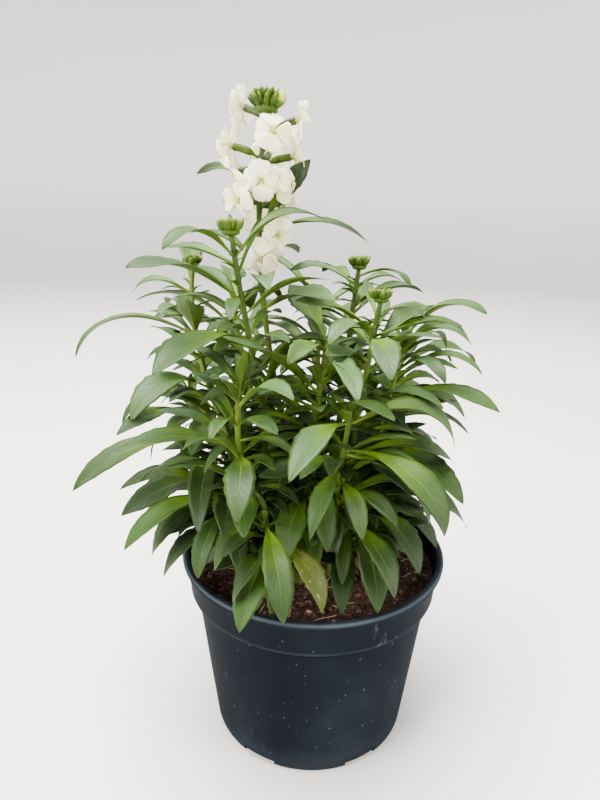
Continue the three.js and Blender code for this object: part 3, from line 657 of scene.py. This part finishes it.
leafShape = {
    "grid": (14, 34), "thickness": 0.5, "width": 0.86, "teeth": 4, "toothHeight": 0.13, "teethFrom": 0.46,
    "teethTo": 0.9, "toothPeak": 0.8, "toothSizes": (0.6, 1.15), "stalk": 0.75, "broadest": 0.62,
    "arch": 0.06, "ruffle": 0.06, "ruffles": 11, "ridge": 0.35, "ridgeWidth": 0.7,
}
youngShape = dict(leafShape, grid=(10, 16), thickness=0.45, width=0.95, teeth=2, toothHeight=0.06, ridge=0.25)
youngRule = {
    "tipLeaves": 7, "length": (11, 22), "rise": (48, 74), "droop": (20, 60), "headLength": (9, 15),
    "headRise": (25, 50), "inner": 20, "innerLength": (27, 44), "innerRise": (20, 50), "innerDroop": (40, 90),
    "innerShares": (0.3, 0.86), "flowerShares": (0.12, 0.56), "turns": (0, 22, -22, 44, -44), "room": 2.2,
    "fold": (30, 50), "curl": (-12, 12), "twist": (-15, 15), "wave": (-0.5, 0.5), "top": (0.99, 0.012),
    "headTop": (0.94, 0.014), "growth": (0.75, 0.06), "lowering": 3, "boxMargin": 5, "potReach": 70,
    "potTop": 92, "oldLeafRoom": 17,
}

# the heights over which leaves get lighter and darker, partly their own green and partly painted shade, and
# over which their waxy bloom with its painted sheen grows and fades; dust spreads that bloom and sheen from
# leaf to leaf; and how old they look
toneRule = {
    "lighter": (105, 215), "darker": (232, 245), "moreWaxAndSheen": (110, 230), "lessWaxAndSheen": (246, 222),
    "dust": (0.15, 1.15), "age": (0, 0.12), "oldAge": 0.85, "oldWithin": 9,
}
yellowLeafTip = Vector((2.5, -63.6, 99.9))  # one old leaf at the front is turning
own = random.Random(71)


def drawn(rule, key):
    return own.uniform(*rule[key])


def bladeOutline(share, broadest):
    # a long narrow foot, broadest past the middle, and a pointed tip with full shoulders
    if share < broadest:
        return soft(share, -0.02, broadest) ** 1.15
    return max(1 - ((share - broadest) / (1 - broadest)) ** 1.8, 0) ** 0.9


def leafSkin(walk, row, form, shape):
    steps = plant["midribSteps"]
    broadest = row[2] * plant["halfWidth"] * extra(row, 5, 1) * form["width"] * shape["width"]
    twist = form["twist"] + extra(row, 6, 0)
    phases = [own.uniform(0, 1) for _ in range(2)]
    ruffles = [own.uniform(0, 6.3) for _ in range(2)]
    toothSize = [drawn(shape, "toothSizes") * shape["toothHeight"] for _ in range(2)]

    def tooth(share, side):
        start, stop, peak = shape["teethFrom"], shape["teethTo"], shape["toothPeak"]
        fade = soft(share, start, start + 0.08) * soft(share, stop, stop - 0.06)
        part = ((share - start) / (stop - start) * shape["teeth"] + phases[side]) % 1
        return fade * toothSize[side] * (part / peak if part < peak else (1 - part) / (1 - peak))

    def place(a, s):
        k = min(int(s * steps), steps - 1)
        part = s * steps - k
        (spot, way, facing), (nextSpot, nextWay, nextFacing) = walk[k:k + 2]
        spot = spot.lerp(nextSpot, part)
        if s < atEnd:
            return spot
        way = way.lerp(nextWay, part).normalized()
        facing = facing * (1 - part) + nextFacing * part
        across, over = axes(way, facing, radians(twist * s))
        top, x = acrossBlade(a)
        half = hypot(broadest * bladeOutline(s, shape["broadest"]), shape["stalk"] * (1 - s) ** 0.6)
        side = 1 if x > 0 else 0
        reach = half * abs(x) * (1 + tooth(s, side) * abs(x) ** 3)
        fold = tan(radians(form["fold"] * (1 - s) ** 1.1 + plant["tipFold"]))
        wave = form["wave"] * sin(plant["waves"] * s) * s
        ruffle = half * shape["ruffle"] * sin(shape["ruffles"] * s + ruffles[side]) * x * x
        ruffle *= soft(s, 0.2, 0.5)
        arch = half * shape["arch"] * x * x * soft(s, 0.35, 0.8)
        lift = reach * fold * abs(x) ** 0.35 - arch - wave * x + ruffle
        thick = shape["thickness"] / 2 * bulge(x) * (1 - 0.5 * s) * soft(s, 1.0, 0.93)
        if not top:
            thick = -thick - shape["ridge"] * (1 - s) * exp(-(x * half / shape["ridgeWidth"]) ** 2)
        return spot + across * (reach if x > 0 else -reach) + over * (lift + thick)
    return place


def leafTone(walk):
    # leaves differ by height: darker below, partly deeper green and partly painted shade; palest high up,
    # with the most waxy bloom and painted sheen; darker again at the very top, partly deep green and partly
    # painted shade
    rule, height = toneRule, walk[0][0].z
    waxAndSheen = 0.1 + 0.8 * soft(height, *rule["moreWaxAndSheen"]) * soft(height, *rule["lessWaxAndSheen"])
    waxAndSheen *= drawn(rule, "dust")
    old = (walk[-1][0] - yellowLeafTip).length < rule["oldWithin"]
    light, dark = 0.5 * soft(height, *rule["lighter"]), 0.6 * soft(height, *rule["darker"])
    shade = 0.75 * own.random() + light - 0.18 - dark
    return (shade, waxAndSheen, rule["oldAge"] if old else drawn(rule, "age"), 1)


def youngLeaves(name, head):
    # a tuft of small leaves round the top of a stem, and small ones further in
    rule, golden = youngRule, plant["goldenAngle"]
    rows = []
    turn = own.uniform(0, 360)
    top, step = rule["headTop" if head else "top"]
    first, growth = rule["growth"]
    for k in range(rule["tipLeaves"]):
        length = drawn(rule, "headLength" if head else "length") * (first + growth * k)
        rise = drawn(rule, "headRise" if head else "rise") - rule["lowering"] * k
        rows.append([top - step * k, turn + golden * k, length, rise, drawn(rule, "droop"), 1.05])
    low, high = rule["flowerShares" if name == "flowering_stem" else "innerShares"]
    for k in range(rule["inner"]):
        share = low + (high - low) * k / rule["inner"]
        rows.append([share, turn + 60 + golden * k, drawn(rule, "innerLength"), drawn(rule, "innerRise"),
                     drawn(rule, "innerDroop"), 0.95])
    return rows


def inside(walk):
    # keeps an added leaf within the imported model's box, out of the pot, and off the turning leaf
    rule, low, high = youngRule, cadBox[0] / mm, cadBox[1] / mm
    margin = rule["boxMargin"]
    for spot, way, facing in walk:
        inBox = all(low[i] + margin < spot[i] < high[i] - margin for i in range(3))
        inPot = spot.z < rule["potTop"] and hypot(spot.x, spot.y) < rule["potReach"]
        if not inBox or inPot or (spot - yellowLeafTip).length < rule["oldLeafRoom"]:
            return False
    return True


def ribSpots(walks):
    return [walk[k][0] for walk in walks for k in range(14, plant["midribSteps"] + 1, 4)]


def roomiest(name, row, form, taken):
    # the turn that keeps an added leaf furthest from its neighbours, or none
    best, most = None, youngRule["room"]
    for turn in youngRule["turns"]:
        walk = leafWalk(name, row, form, (turn, 0))
        room = min(taken.find(spot)[2] for spot in ribSpots([walk]))
        if room > most and inside(walk):
            best, most = walk, room
    return best


# Stems and heads of buds

stemShape = {"grid": (12, 70), "slim": 0.93, "foot": 0.6, "knot": 0.16, "knotLength": 0.008, "ribs": 0.07}
budShape = {
    "grid": (10, 8), "more": 2.6, "thick": 0.62, "length": 0.6, "upright": 0.55, "sway": 9, "seat": 0.42,
    "core": 0.52, "sunk": 0.2, "vary": (0.9, 1.1),
}
openBud = {"grid": (14, 10), "foot": (4.2, -2.5, -1.5), "reach": (2.6, -1.0, 7.2), "thick": 2.3}


def stemSkin(name):
    curve = shoots[name]["curve"]
    scars = [row[0] for walk, row, form in grown[name]]

    def radius(s):
        knot = sum(exp(-((s - scar) / stemShape["knotLength"]) ** 2) for scar in scars)
        swell = 1 + stemShape["knot"] * min(knot, 1.2)
        return stemShape["slim"] * stemRadius(s) * swell * (1 if s > 0.01 else stemShape["foot"])
    return tube(lambda s: (bezier(curve, s), bezierWay(curve, s)), radius, stemShape["ribs"])


def addBuds(piece, name):
    middle = bezier(shoots[name]["curve"], 1)
    reach, flat, lean, count = shoots[name]["buds"]
    top = Vector((0, 0, 0.5 * reach * flat))
    piece.skin((12, 8), pod(middle - top * 1.3, middle + top, budShape["core"] * reach, 0), 3)
    many = int(count * budShape["more"])
    for k in range(many):
        out = sqrt((k + 0.4) / many)
        turn = plant["goldenAngle"] * k + own.uniform(-budShape["sway"], budShape["sway"])
        root = middle + heading(turn, 90 - lean * out) * (budShape["seat"] * reach)
        root.z = middle.z + (root.z - middle.z) * flat
        way = heading(turn, 90 - lean * out * budShape["upright"])
        length = budShape["length"] * reach * (0.62 + 0.5 * out) * drawn(budShape, "vary")
        thick = budShape["thick"] * reach / sqrt(count) * (0.5 + 0.45 * out)
        body = pod(root - way * (budShape["sunk"] * length), root + way * length, thick, 0.07, 4, 0.85)
        piece.skin(budShape["grid"], body, 3, (own.random(), 0.5, 0.0, 1))
    if name == "flowering_stem":
        # one bud is opening, pale yellow
        root = middle + Vector(openBud["foot"])
        body = pod(root, root + Vector(openBud["reach"]), openBud["thick"], 0.06, 4, 0.9)
        piece.skin(openBud["grid"], body, 3, (0.8, 0.5, 1.0, 1))


# Flowers

petalShape = {
    "grid": (20, 14), "thickness": 0.32, "halfWidth": 5.3, "claw": 0.14, "clawFrom": 0.35, "clawTo": 1.1,
    "clawHalf": (0.35, 0.7), "lap": 0.75, "ruffle": 0.55, "cup": 0.8, "notch": 0.035, "bend": (-24, 32),
    "turn": 11, "twist": (-24, -4), "size": (0.87, 0.98), "breadth": (0.88, 1.06),
}
stamenShape = {
    "count": 6, "sway": 12, "out": (0.55, 0.95), "height": (1.0, 1.9), "depth": 1.2, "thick": 0.16,
    "anther": 0.42, "antherEnds": (0.5, 0.9), "style": (-1.5, 1.1, 0.4),
}
calyxShape = {
    "grid": (16, 24), "stalk": 0.55, "swell": 0.85, "flare": 0.15, "ribs": 0.07, "lobe": 0.75, "level": 0.45,
    "mouth": 1.5,
}


def shareAtHeight(points, height):
    low, high = 0.0, 1.0
    for k in range(30):
        middle = (low + high) / 2
        if bezier(points, middle).z < height:
            low = middle
        else:
            high = middle
    return low


def flowerFrame(row):
    height, bearing, reach, faceBearing, faceRise, turn = row
    points = shoots["flowering_stem"]["curve"]
    throat = bezier(points, shareAtHeight(points, height)) + heading(bearing, 0) * reach
    face = heading(faceBearing, faceRise)
    level = heading(faceBearing - 90, 0)
    return {"throat": throat, "face": face, "level": level, "over": level.cross(face), "turn": turn,
            "height": height}


def beside(spot, angle, out, forward):
    level = circled(spot["throat"], spot["level"], spot["over"], radians(angle), out)
    return level + spot["face"] * forward


def petalForward(share, wave):
    return 1.5 * sin(pi * share ** 0.8) - 0.9 * share * share + wave * share


def petalSkin(spot, k, wave):
    shape = petalShape
    length = plant["petal"] * drawn(shape, "size")
    turn = radians(spot["turn"] + 90 * k + own.uniform(-shape["turn"], shape["turn"]))
    bend = radians(drawn(shape, "bend"))
    phase = own.uniform(0, 6.3)
    wide = shape["halfWidth"] * drawn(shape, "breadth")
    twist = tan(radians(drawn(shape, "twist")))
    right = spot["level"] * cos(turn) + spot["over"] * sin(turn)
    up = spot["level"] * -sin(turn) + spot["over"] * cos(turn)
    claw, clawFrom, clawTo = shape["claw"], shape["clawFrom"], shape["clawTo"]
    thin, thick = shape["clawHalf"]

    def place(a, s):
        top, x = acrossBlade(a)
        if s < claw:
            part = s / claw
            out, half = clawFrom + (clawTo - clawFrom) * part, thin + (thick - thin) * part
            forward = -plant["throatDepth"] * 0.8 * (1 - part) + 0.2
        else:
            part = (s - claw) / (1 - claw)
            out = clawTo + (length - clawTo) * part
            end = max(1 - max((part - 0.55) / 0.45, 0) ** 2.4, 0) ** 0.5
            half = (thick + (wide - thick) * soft(part, -0.15, 0.62)) * end
            forward = petalForward(out / length, wave) + 0.2
        side = x * half if s > atEnd else 0
        blade = soft(s, 0.2, 0.6)
        ruffle = shape["ruffle"] * sin(3.2 * x + phase) * blade * 0.6
        crimp = 0.25 * sin(9 * x + phase * 2) * soft(s, 0.75, 1)
        cup = shape["cup"] * (1 - x * x) * 0.5
        forward += blade * (shape["lap"] * x * 0.55 + twist * side + ruffle - cup + crimp)
        body = shape["thickness"] / 2 * bulge(x) * (1 if s < 0.97 else 0)
        forward += body if top else -body
        lean = bend * soft(s, 0.1, 0.5)
        out, forward = (out * cos(lean) - forward * sin(lean),
                        forward * cos(lean) + out * sin(lean))
        out *= 1 - shape["notch"] * exp(-(x / 0.22) ** 2) * soft(s, 0.8, 1)
        return spot["throat"] + right * out + up * side + spot["face"] * forward
    return place


def makeBloom(name, spot, waves, *nodes):
    piece = Piece(name + "_petals", [petalWhite, antherDust, budGreen])
    for k, wave in enumerate(waves):
        piece.skin(petalShape["grid"], petalSkin(spot, k, wave), 0, (own.random(), 0.5, 0, 1), 0)
    shape = stamenShape
    for k in range(shape["count"]):
        angle = spot["turn"] + 360 / shape["count"] * k + own.uniform(-shape["sway"], shape["sway"])
        out = drawn(shape, "out")
        foot = beside(spot, angle, out * 0.6, -shape["depth"])
        top = beside(spot, angle, out, drawn(shape, "height"))
        piece.skin((6, 4), pod(foot, top, shape["thick"], 0, 4, 0.9), 2)
        below, above = shape["antherEnds"]
        anther = pod(top - spot["face"] * below, top + spot["face"] * above, shape["anther"], 0.1, 2)
        piece.skin((8, 6), anther, 1)
    foot, end, thick = shape["style"]
    piece.skin((8, 6), pod(beside(spot, 0, 0, foot), beside(spot, 0, 0, end), thick, 0.05), 2)
    piece.done("petals", *nodes)


def calyxSkin(spot):
    shape = calyxShape
    points = shoots["flowering_stem"]["curve"]
    foot = bezier(points, shareAtHeight(points, spot["height"] - plant["stalkDrop"]))
    rim = beside(spot, 0, 0, plant["calyxRim"])
    bend = beside(spot, 0, 0, -2 * plant["calyx"])
    start = 1 - plant["calyx"] / (foot - rim).length
    stalkEnd, rimStart = 0.4, 0.8

    def place(a, s):
        inward = max((s - rimStart) / (1 - rimStart), 0)
        if s < stalkEnd:
            t = start * s / stalkEnd
        else:
            t = min(start + (1 - start) * (s - stalkEnd) / (rimStart - stalkEnd), 1)
        point = foot * (1 - t) ** 2 + bend * (2 * t * (1 - t)) + rim * t * t
        way = ((bend - foot) * (1 - t) + (rim - bend) * t).normalized()
        if s < atEnd or s > 1 - atEnd:
            return point - way * (plant["throatDepth"] if s > 0.5 else 0)
        angle = 2 * pi * a
        lobe = abs(cos(2 * angle))
        edge = shape["lobe"] * (lobe - shape["level"])
        if s < stalkEnd:
            reach = shape["stalk"] + 0.25 * soft(s, 0.1, 0.0)
        elif s < rimStart:
            part = (s - stalkEnd) / (rimStart - stalkEnd)
            reach = 0.6 + shape["swell"] * soft(part, 0, 0.35) + shape["flare"] * part
            reach *= 1 + shape["ribs"] * lobe
            point = point + way * (edge * soft(part, 0.75, 1))
        else:
            reach = shape["mouth"] * (1 - inward) ** 0.6
            point = point + way * (edge * (1 - inward) ** 2) - way * (plant["throatDepth"] * inward)
        return circled(point, *sidesOf(way), angle, reach)
    return place


blooms = [flowerFrame(row) for row in flowers + fillers]
for index, waves in enumerate(flowerWaves):
    name = "bloom_%02d" % (index + 1)
    makeBloom(name, blooms[index], waves, name)
for index, spot in enumerate(blooms[len(flowers):]):
    makeBloom("filler_%d" % (index + 1), spot, [drawn(plant, "petalWave") for _ in range(4)])
print("blooms made:", len(blooms))

ribs = ribSpots([walk for rows in grown.values() for walk, row, form in rows])
for name in shoots:
    taken = spotTree(ribs)
    piece = Piece(name + "_foliage", [leafTop, leafUnder, stemGreen, budGreen])
    piece.skin(stemShape["grid"], stemSkin(name), 2)
    for walk, row, form in grown[name]:
        piece.skin(leafShape["grid"], leafSkin(walk, row, form, leafShape), 0, leafTone(walk), 1)
    for row in youngLeaves(name, "buds" in shoots[name]):
        form = {"width": 1, **{key: drawn(youngRule, key) for key in ("curl", "twist", "fold", "wave")}}
        walk = roomiest(name, row, form, taken)
        if walk:
            ribs += ribSpots([walk])
            piece.skin(youngShape["grid"], leafSkin(walk, row, form, youngShape), 0, leafTone(walk), 1)
    if "buds" in shoots[name]:
        addBuds(piece, name)
    if name == "flowering_stem":
        for spot in blooms:
            piece.skin(calyxShape["grid"], calyxSkin(spot), 3, (own.random(), 0.5, 0, 1))
    piece.done("foliage", name)
print("foliage made")


# Pot

potShape = {
    "height": 94.7, "lipRadius": 65, "lipDepth": 2.6, "collarHeight": 15.4, "collarTop": 62.8,
    "collarFoot": 61.2, "body": 58.4, "base": 49.5, "wall": 1.4, "floor": 2, "sides": 160, "edge": 0.5,
    "sharp": 28, "drains": 6, "drainDepth": 10, "drainWidth": 17, "drainHeight": 3.4,
}
collarEnd = potShape["height"] - potShape["lipDepth"]
collarStart = collarEnd - potShape["collarHeight"]


def potFinish():
    f = Finish("potPlastic", {"dark": "0a0d11", "light": "12171d", "dust": "32383e", "scuff": "6a747c",
                              "spot": "a8adad", "shadow": "030507", "worn": "3e454c"})
    x, y, height = f.parts(f.place)
    radius = (x * x + y * y) ** 0.5
    smudge = f.noise(11, 4, None, 0.6)
    runs = f.noise(26, 3, f.stretched(1, 1, 0.1))
    scuff = f.noise(120, 5, f.stretched(1, 1, 0.35), 0.7)
    foot, lip, rim = [value * mm for value in (collarStart, potShape["height"], potShape["lipRadius"])]

    def near(level, low, high):
        return height.band(level + low * mm, level + high * mm)

    colour = f.mix((smudge * 0.6 + runs * 0.5).band(0.35, 0.8), "dark", "light")
    dust = (smudge + height.band(0.02, 0.0) * 0.25 + height.band(0.088, 0.095) * 0.2).band(0.5, 0.85) * 0.3
    spots = f.cells(330.0, f.stretched(1, 1, 0.7))
    chosen = f.channels(spots.output("Color"))[0].band(0.62, 0.66)
    # painted highlights: a thin pale line along the top of the lip and another just above the collar's lower
    # edge, broken up by the scuffs
    lipHighlight = near(lip, -1.3, -0.3) * radius.band(rim - 1.8 * mm, rim - 0.4 * mm) * (scuff * 0.5 + 0.45)
    collarHighlight = near(foot, -0.3, 0.4) * near(foot, 2.1, 1) * scuff * 0.25
    colour = f.coats(colour, dust=dust, scuff=scuff.band(0.64, 0.71) * 0.11,
                     spot=(spots + f.noise(1300, 2) * 0.3).band(0.27, 0.17) * chosen * 0.2,
                     shadow=near(foot, -4.7, -1) * near(foot, 0.1, -0.6) * 0.75, worn=lipHighlight + collarHighlight)
    grain = f.noise(900, 2) * 0.25 + runs * 0.4 + scuff * 0.3
    return f.surface(colour, smudge * 0.2 + 0.5 + dust * 0.4, (grain, 0.00025, 0.5), 0.01)


def potProfile(p):
    foot, top, lip, height = collarStart, collarEnd, p["lipRadius"], p["height"]
    collarFoot, collarTop, body = p["collarFoot"], p["collarTop"], p["body"]
    base, wall = p["base"], p["wall"]
    outer = [[0, 0], [base - 1.5, 0], [base, 1.5]]
    outer += [[base + (body - base) * k / 10, 1.5 + (foot - 2.3) * k / 10] for k in range(1, 11)]
    outer += [[collarFoot + 0.1, foot], [collarFoot + 0.25, foot + 0.9], [collarTop - 0.25, top - 2.2],
              [collarTop + 0.15, top - 1.5], [collarTop + 0.1, top - 0.3], [lip - 0.4, top + 0.2],
              [lip, top + 0.7], [lip, height - 0.8], [lip - 0.8, height]]
    inner = [[collarTop - wall + 0.4, height], [collarTop - wall, top], [collarFoot - wall, foot + 1],
             [body - wall, foot - 2], [base - wall, p["floor"]], [0, p["floor"]]]
    return outer + inner


def drainCuts(p):
    cutter = bmesh.new()
    for k in range(p["drains"]):
        turn = Matrix.Rotation(2 * pi * k / p["drains"], 4, "Z")
        size = Matrix.Diagonal((p["drainDepth"] * mm, p["drainWidth"] * mm, 2 * p["drainHeight"] * mm, 1))
        bmesh.ops.create_cube(cutter, size=1, matrix=turn @ Matrix.Translation((p["base"] * mm, 0, 0)) @ size)
    return addObject("drainCuts", meshOf(cutter, "drainCuts"))


def makePot(p):
    bm = spun(potProfile(p), p["sides"], 0.001)
    sharp = [e for e in bm.edges if len(e.link_faces) == 2 and e.calc_face_angle() > radians(p["sharp"])]
    bmesh.ops.bevel(bm, geom=sharp, offset=p["edge"], segments=3, affect="EDGES", profile=0.5, material=-1)
    for face in bm.faces:
        face.smooth = True
    bmesh.ops.scale(bm, vec=(mm, mm, mm), verts=bm.verts)
    pot = addObject("potShell", meshOf(bm, "potWall"))
    cuts = drainCuts(p)
    cut = pot.modifiers.new("drains", "BOOLEAN")
    cut.operation, cut.solver, cut.object = "DIFFERENCE", "EXACT", cuts
    shaped = bpy.data.meshes.new_from_object(pot.evaluated_get(bpy.context.evaluated_depsgraph_get()))
    pot.modifiers.clear()
    pot.data = shaped
    shaped.name = "potWall"
    bpy.data.objects.remove(cuts)
    shaped.materials.clear()
    shaped.materials.append(potPlastic)
    enter(pot, "pot", "pot")


potPlastic = potFinish()
makePot(potShape)
print("pot made")


# Compost

soilShape = {
    "top": 87.5, "reach": 60.1, "grid": (220, 90), "surface": 0.9, "broad": 1.1, "fine": 0.6, "fall": 0.0006,
    "rough": 0.9, "crumbs": 2400, "batch": 60, "crumbSize": (0.35, 1.5), "large": (0.1, 1.5),
    "squash": ((0.6, 1.6), (0.5, 1.0), (0.4, 0.8)), "tilt": (-0.7, 0.7), "lumps": (0.65, 1.3), "chips": 0.45,
    "fibres": 90, "fibreLength": (4, 12), "fibreReach": 54, "fibreThick": 0.16, "fibreRise": (-6, 14),
    "fibreEdge": 57, "fibreTop": 93,
}

# the hidden side and bottom, a hair inside the pot wall: share, radius, height
soilSide = [(0, 60.1, 85.5), (0.2, 59.2, 78.2), (0.3, 56.3, 74.2), (0.7, 47.5, 2.7), (1, 0, 2.7)]


def soilFinish(name, dark, light, chip):
    f = Finish(name, {"dark": dark, "light": light, "chip": chip})
    grain = f.noise(700, 4, None, 0.65)
    damp = f.noise(35, 3)
    colour = f.mix((grain * 0.8 + damp * 0.4).band(0.4, 0.85), "dark", "light")
    colour = f.mix(f.noise(260, 2).band(0.64, 0.74) * 0.7, colour, "chip")
    return f.surface(colour, grain * 0.2 + 0.75, (grain + f.cells(330.0) * 0.8, 0.0012, 0.9), 0.25)


def onSide(share):
    for (low, *first), (high, *second) in zip(soilSide, soilSide[1:]):
        if share <= high:
            part = (share - low) / (high - low)
            return [a + (b - a) * part for a, b in zip(first, second)]
    return soilSide[-1][1:]


def soilHeight(x, y):
    broad = soilShape["broad"] * sin(0.13 * x + 1) * cos(0.11 * y)
    fine = soilShape["fine"] * sin(0.37 * x - 0.21 * y)
    crumbly = noise.fractal(Vector((x * 0.45, y * 0.45, 3)), 0.7, 2.1, 4) * soilShape["rough"]
    return soilShape["top"] + broad + fine - soilShape["fall"] * (x * x + y * y) + crumbly


def onSoil(r, angle, over=0.0):
    x, y = r * cos(angle), r * sin(angle)
    return Vector((x, y, soilHeight(x, y) + over))


def soilPlace(a, s):
    angle, surface = 2 * pi * a, soilShape["surface"]
    if s <= surface:
        return onSoil(soilShape["reach"] * s / surface, angle, -0.6 * soft(s, surface - 0.02, surface))
    r, z = onSide((s - surface) / (1 - surface))
    return Vector((r * cos(angle), r * sin(angle), z))


def anywhere(reach):
    return reach * sqrt(own.random()), own.uniform(0, 2 * pi)


def crumbs(count):
    bm = bmesh.new()
    share, larger = soilShape["large"]
    for k in range(count):
        spot = anywhere(soilShape["reach"] - 2.2)
        size = drawn(soilShape, "crumbSize") * (larger if own.random() < share else 1)
        made = bmesh.ops.create_icosphere(bm, subdivisions=1, radius=size)["verts"]
        squash = Matrix.Diagonal((*[own.uniform(*ends) for ends in soilShape["squash"]], 1))
        turn = Matrix.Rotation(own.uniform(0, 6.3), 4, "Z")
        turn = turn @ Matrix.Rotation(drawn(soilShape, "tilt"), 4, "X")
        kind = 1 if own.random() < soilShape["chips"] else 0
        middle = onSoil(*spot, size * 0.15)
        for v in made:
            v.co = turn @ squash @ (v.co * drawn(soilShape, "lumps")) + middle
        for face in {f for v in made for f in v.link_faces}:
            face.material_index = kind
    return bm


def addFibre(piece):
    start = onSoil(*anywhere(soilShape["fibreReach"]), 0.5)
    way = heading(own.uniform(0, 360), drawn(soilShape, "fibreRise"))
    end = start + way * drawn(soilShape, "fibreLength")
    if hypot(end.x, end.y) > soilShape["fibreEdge"] or end.z > soilShape["fibreTop"]:
        return
    sag = Vector((own.uniform(-1.5, 1.5), own.uniform(-1.5, 1.5), own.uniform(0, 1)))
    path = [start, start.lerp(end, 0.3) + sag, start.lerp(end, 0.7) - sag * 0.6, end]
    body = tube(lambda s: (bezier(path, s), bezierWay(path, s)), lambda s: soilShape["fibreThick"])
    piece.skin((5, 8), body, 2)


def makeSoil():
    piece = Piece("compostFill", [compost, bark, fibre])
    piece.skin(soilShape["grid"], soilPlace, 0)
    for k in range(soilShape["crumbs"] // soilShape["batch"]):
        piece.join(crumbs(soilShape["batch"]))
    for k in range(soilShape["fibres"]):
        addFibre(piece)
    piece.done("soil", "soil")


compost = soilFinish("compost", "120805", "44291d", "8a6c53")
bark = soilFinish("barkChips", "24110b", "6e4333", "bda78e")
fibre = soilFinish("paleFibre", "8a7355", "b8a27e", "cdbb9a")
makeSoil()
print("compost made")

# the hidden solids carry finishes too
for name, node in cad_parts.items():
    usual = petalWhite if name.startswith("bloom") else leafTop
    node.data.materials.clear()
    node.data.materials.append({"pot": potPlastic, "soil": compost}.get(name, usual))


# Floor, light and camera

studio = {
    "floorReach": 2.2, "sweepRadius": 1.0, "wallTop": 2.4, "sides": 96, "aim": (0, 0, 0.17),
    "world": 0.85, "worldColour": (1.0, 0.98, 0.95, 1),
    "softTop": ((-0.2, 0.1, 1.6), 1.1, 150), "softLeft": ((-1.3, -0.9, 0.9), 1.0, 76),
    "softRight": ((1.2, -0.7, 0.8), 0.9, 34),
}
view = {"place": (-0.0078, -0.2692, 0.2544), "pitch": 17.35, "roll": 1.05, "sensor": 36, "lens": 27}


def floorFinish():
    f = Finish("paleFloor", {"dark": "d2cfca", "light": "d8d5d0", "wall": "f2f1ef"})
    haze = f.noise(3, 3)
    colour = f.mix(haze.band(0.3, 0.7), "dark", "light")
    colour = f.mix(f.parts(f.place)[2].band(0, 0.5), colour, "wall")
    return f.surface(colour, haze * 0.1 + 0.75, specular=0.5)


def makeFloor():
    # a flat disc that sweeps up into a round wall, so it is the same pale ground from every side
    reach, radius = studio["floorReach"], studio["sweepRadius"]
    sweep = [radians(t) for t in range(6, 91, 6)]
    line = [(0, 0), (0.5, 0), (reach, 0)]
    line += [(reach + radius * sin(t), radius - radius * cos(t)) for t in sweep]
    line.append((reach + radius, studio["wallTop"]))
    bm = spun(line, studio["sides"], 0.0001)
    if bm.faces[0].normal.z < 0:
        bmesh.ops.reverse_faces(bm, faces=bm.faces)
    for face in bm.faces:
        face.smooth = True
    addObject("studioFloor", meshOf(bm, "studioFloor", [floorFinish()]))


def addLight(name):
    light = bpy.data.lights.new(name, "AREA")
    light.shape = "DISK"
    place, light.size, light.energy = studio[name]
    lamp = addObject(name, light)
    lamp.location = place
    lamp.rotation_euler = (Vector(studio["aim"]) - Vector(place)).to_track_quat("-Z", "Y").to_euler()


def setCamera():
    camera = addObject("camera", bpy.data.cameras.new("camera"))
    camera.data.sensor_fit = "VERTICAL"
    camera.data.sensor_height = view["sensor"]
    camera.data.lens = view["lens"]
    camera.data.clip_start = 0.01
    tilt = Matrix.Rotation(radians(90 - view["pitch"]), 4, "X")
    roll = Matrix.Rotation(radians(view["roll"]), 4, "Z")
    camera.matrix_world = Matrix.Translation(view["place"]) @ tilt @ roll
    bpy.context.scene.camera = camera


makeFloor()
for name in ("softTop", "softLeft", "softRight"):
    addLight(name)
world = bpy.data.worlds.new("softRoom")
bpy.context.scene.world = world
world.use_nodes = True
sky = world.node_tree.nodes["Background"].inputs
sky["Color"].default_value = studio["worldColour"]
sky["Strength"].default_value = studio["world"]
setCamera()
print("studio ready")
